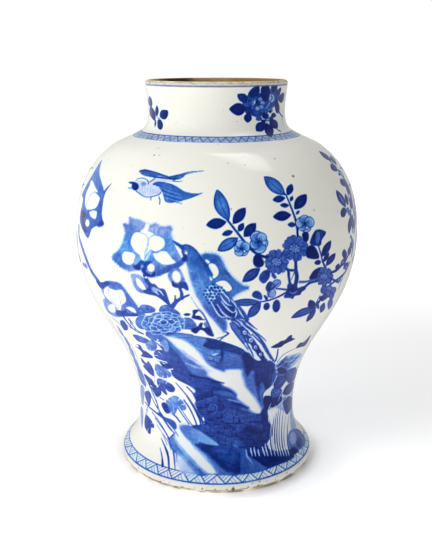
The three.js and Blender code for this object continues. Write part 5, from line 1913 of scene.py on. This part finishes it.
def pale_floor():
    """White paper with the vase's shine, a little painted shade under its right side and painted light in
    front.
    """
    mesh = bpy.data.meshes.new("floor")
    half = FLOOR_SIZE / 2
    corners = [(-half, -half, 0), (half, -half, 0), (half, half, 0), (-half, half, 0)]
    mesh.from_pydata(corners, [], [(0, 1, 2, 3)])
    floor = bpy.data.objects.new("floor", mesh)
    bpy.context.scene.collection.objects.link(floor)
    material, shader, place = new_material("floor_paper", FLOOR_PAPER)
    camera, glossy, clear = light_paths(place)
    seen = (camera + clear).clamped()
    reach = place.add("ShaderNodeVectorMath", {"operation": "LENGTH"}, {0: place}, 1)
    depth = place.axis(1)
    aside = place.axis(0) / reach
    behind = depth.between(*BACK_FADE)
    shine = FLOOR_SHINE + reach.between(*SHINE_FADE) * (room_shine(behind) - FLOOR_SHINE)
    shine = shine + FLOOR_LEFT_SHINE * (1 - aside.between(*LEFT_SIDE)) * behind
    # Painted shadow: the white glow is cut back by the foot, most at its front right, and more widely on
    # its right side
    under = aside.between(*RIGHT_SIDE) * (1 - depth.between(*UNDER_FADE))
    painted_contact_shadow = (CONTACT_SHADOW_DARK[0] + CONTACT_SHADOW_DARK[1] * under) * (1 - reach.between(*CONTACT_SHADOW_FADE))
    shade = PAINTED_SHADE_DARK * under * (1 - reach.between(*PAINTED_SHADE_FADE))
    # Painted light: the white glow is raised in front of the vase, as well as far away
    lift = (reach.between(*FLOOR_FADE) + FRONT_LIFT * (1 - depth.between(*FRONT_FADE))).clamped()
    lift = FLOOR_LIFT + (1 - FLOOR_LIFT) * lift
    lift = seen * lift * (1 - painted_contact_shadow) * (1 - shade) + (1 - seen) * FLOOR_BOUNCE
    paper = Link(place.tree, shader.outputs[0])
    lifted = place.add("ShaderNodeAddShader", None, {0: paper, 1: place.glow(lift)})
    surface = place.add("ShaderNodeMixShader", None, {0: glossy, 1: lifted, 2: place.glow(shine)})
    output = next(node for node in place.tree.nodes if node.type == "OUTPUT_MATERIAL")
    place.tree.links.new(surface.socket, output.inputs["Surface"])
    mesh.materials.append(material)
    floor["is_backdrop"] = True


def white_world():
    """White to the camera. Shine shows a white backdrop behind the vase and a dimmer room before it."""
    world = bpy.data.worlds.new("studio")
    bpy.context.scene.world = world
    world.use_nodes = True
    tree = world.node_tree
    start = Link(tree)
    camera, glossy, clear = light_paths(start)
    direction = start.add("ShaderNodeTexCoord")
    behind = direction.axis(1).between(-0.3, 0.5)
    right = direction.axis(0).between(0.0, 1.0) * direction.axis(2).between(0.0, 0.5)
    left = 1 - direction.axis(0).between(*LEFT_SIDE)
    shine = room_shine(behind) * (1 - RIGHT_DIM * right) + LEFT_SHINE * left * behind
    seen = (camera + clear).clamped()
    strength = seen + (1 - seen) * (glossy * shine + (1 - glossy) * AMBIENT)
    background = next(node for node in tree.nodes if node.type == "BACKGROUND")
    background.inputs["Color"].default_value = (1, 1, 1, 1)
    tree.links.new(strength.socket, background.inputs["Strength"])


def soft_box(name, place, size, power, shines):
    lamp = bpy.data.lights.new(name, "AREA")
    lamp.shape = "RECTANGLE"
    lamp.size, lamp.size_y = size
    lamp.energy = power
    box = bpy.data.objects.new(name, lamp)
    bpy.context.scene.collection.objects.link(box)
    box.location = place
    box.rotation_euler = (Vector(LAMP_AIM) - Vector(place)).to_track_quat("-Z", "Y").to_euler()
    box.visible_glossy = shines


def photo_camera():
    lens = bpy.data.cameras.new("photo_camera")
    lens.sensor_width = SENSOR
    lens.lens = FOCAL_PIXELS / FRAME_HEIGHT * SENSOR
    lens.shift_x = (FRAME_WIDTH / 2 - PHOTO_CENTRE[0]) / FRAME_HEIGHT
    camera = bpy.data.objects.new("photo_camera", lens)
    bpy.context.scene.collection.objects.link(camera)
    camera.location = (0, -CAMERA_DISTANCE, CAMERA_HEIGHT)
    camera.rotation_euler = (math.pi / 2 - CAMERA_PITCH, 0, 0)
    bpy.context.scene.camera = camera


pale_floor()
white_world()
for lamp in LAMPS:
    soft_box(*lamp)
photo_camera()
bpy.context.scene.view_settings.view_transform = "Standard"

boxes = {"cad": cad_box, "visual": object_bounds()}
{name: [[float(v) for v in corner] for corner in box] for name, box in boxes.items()}
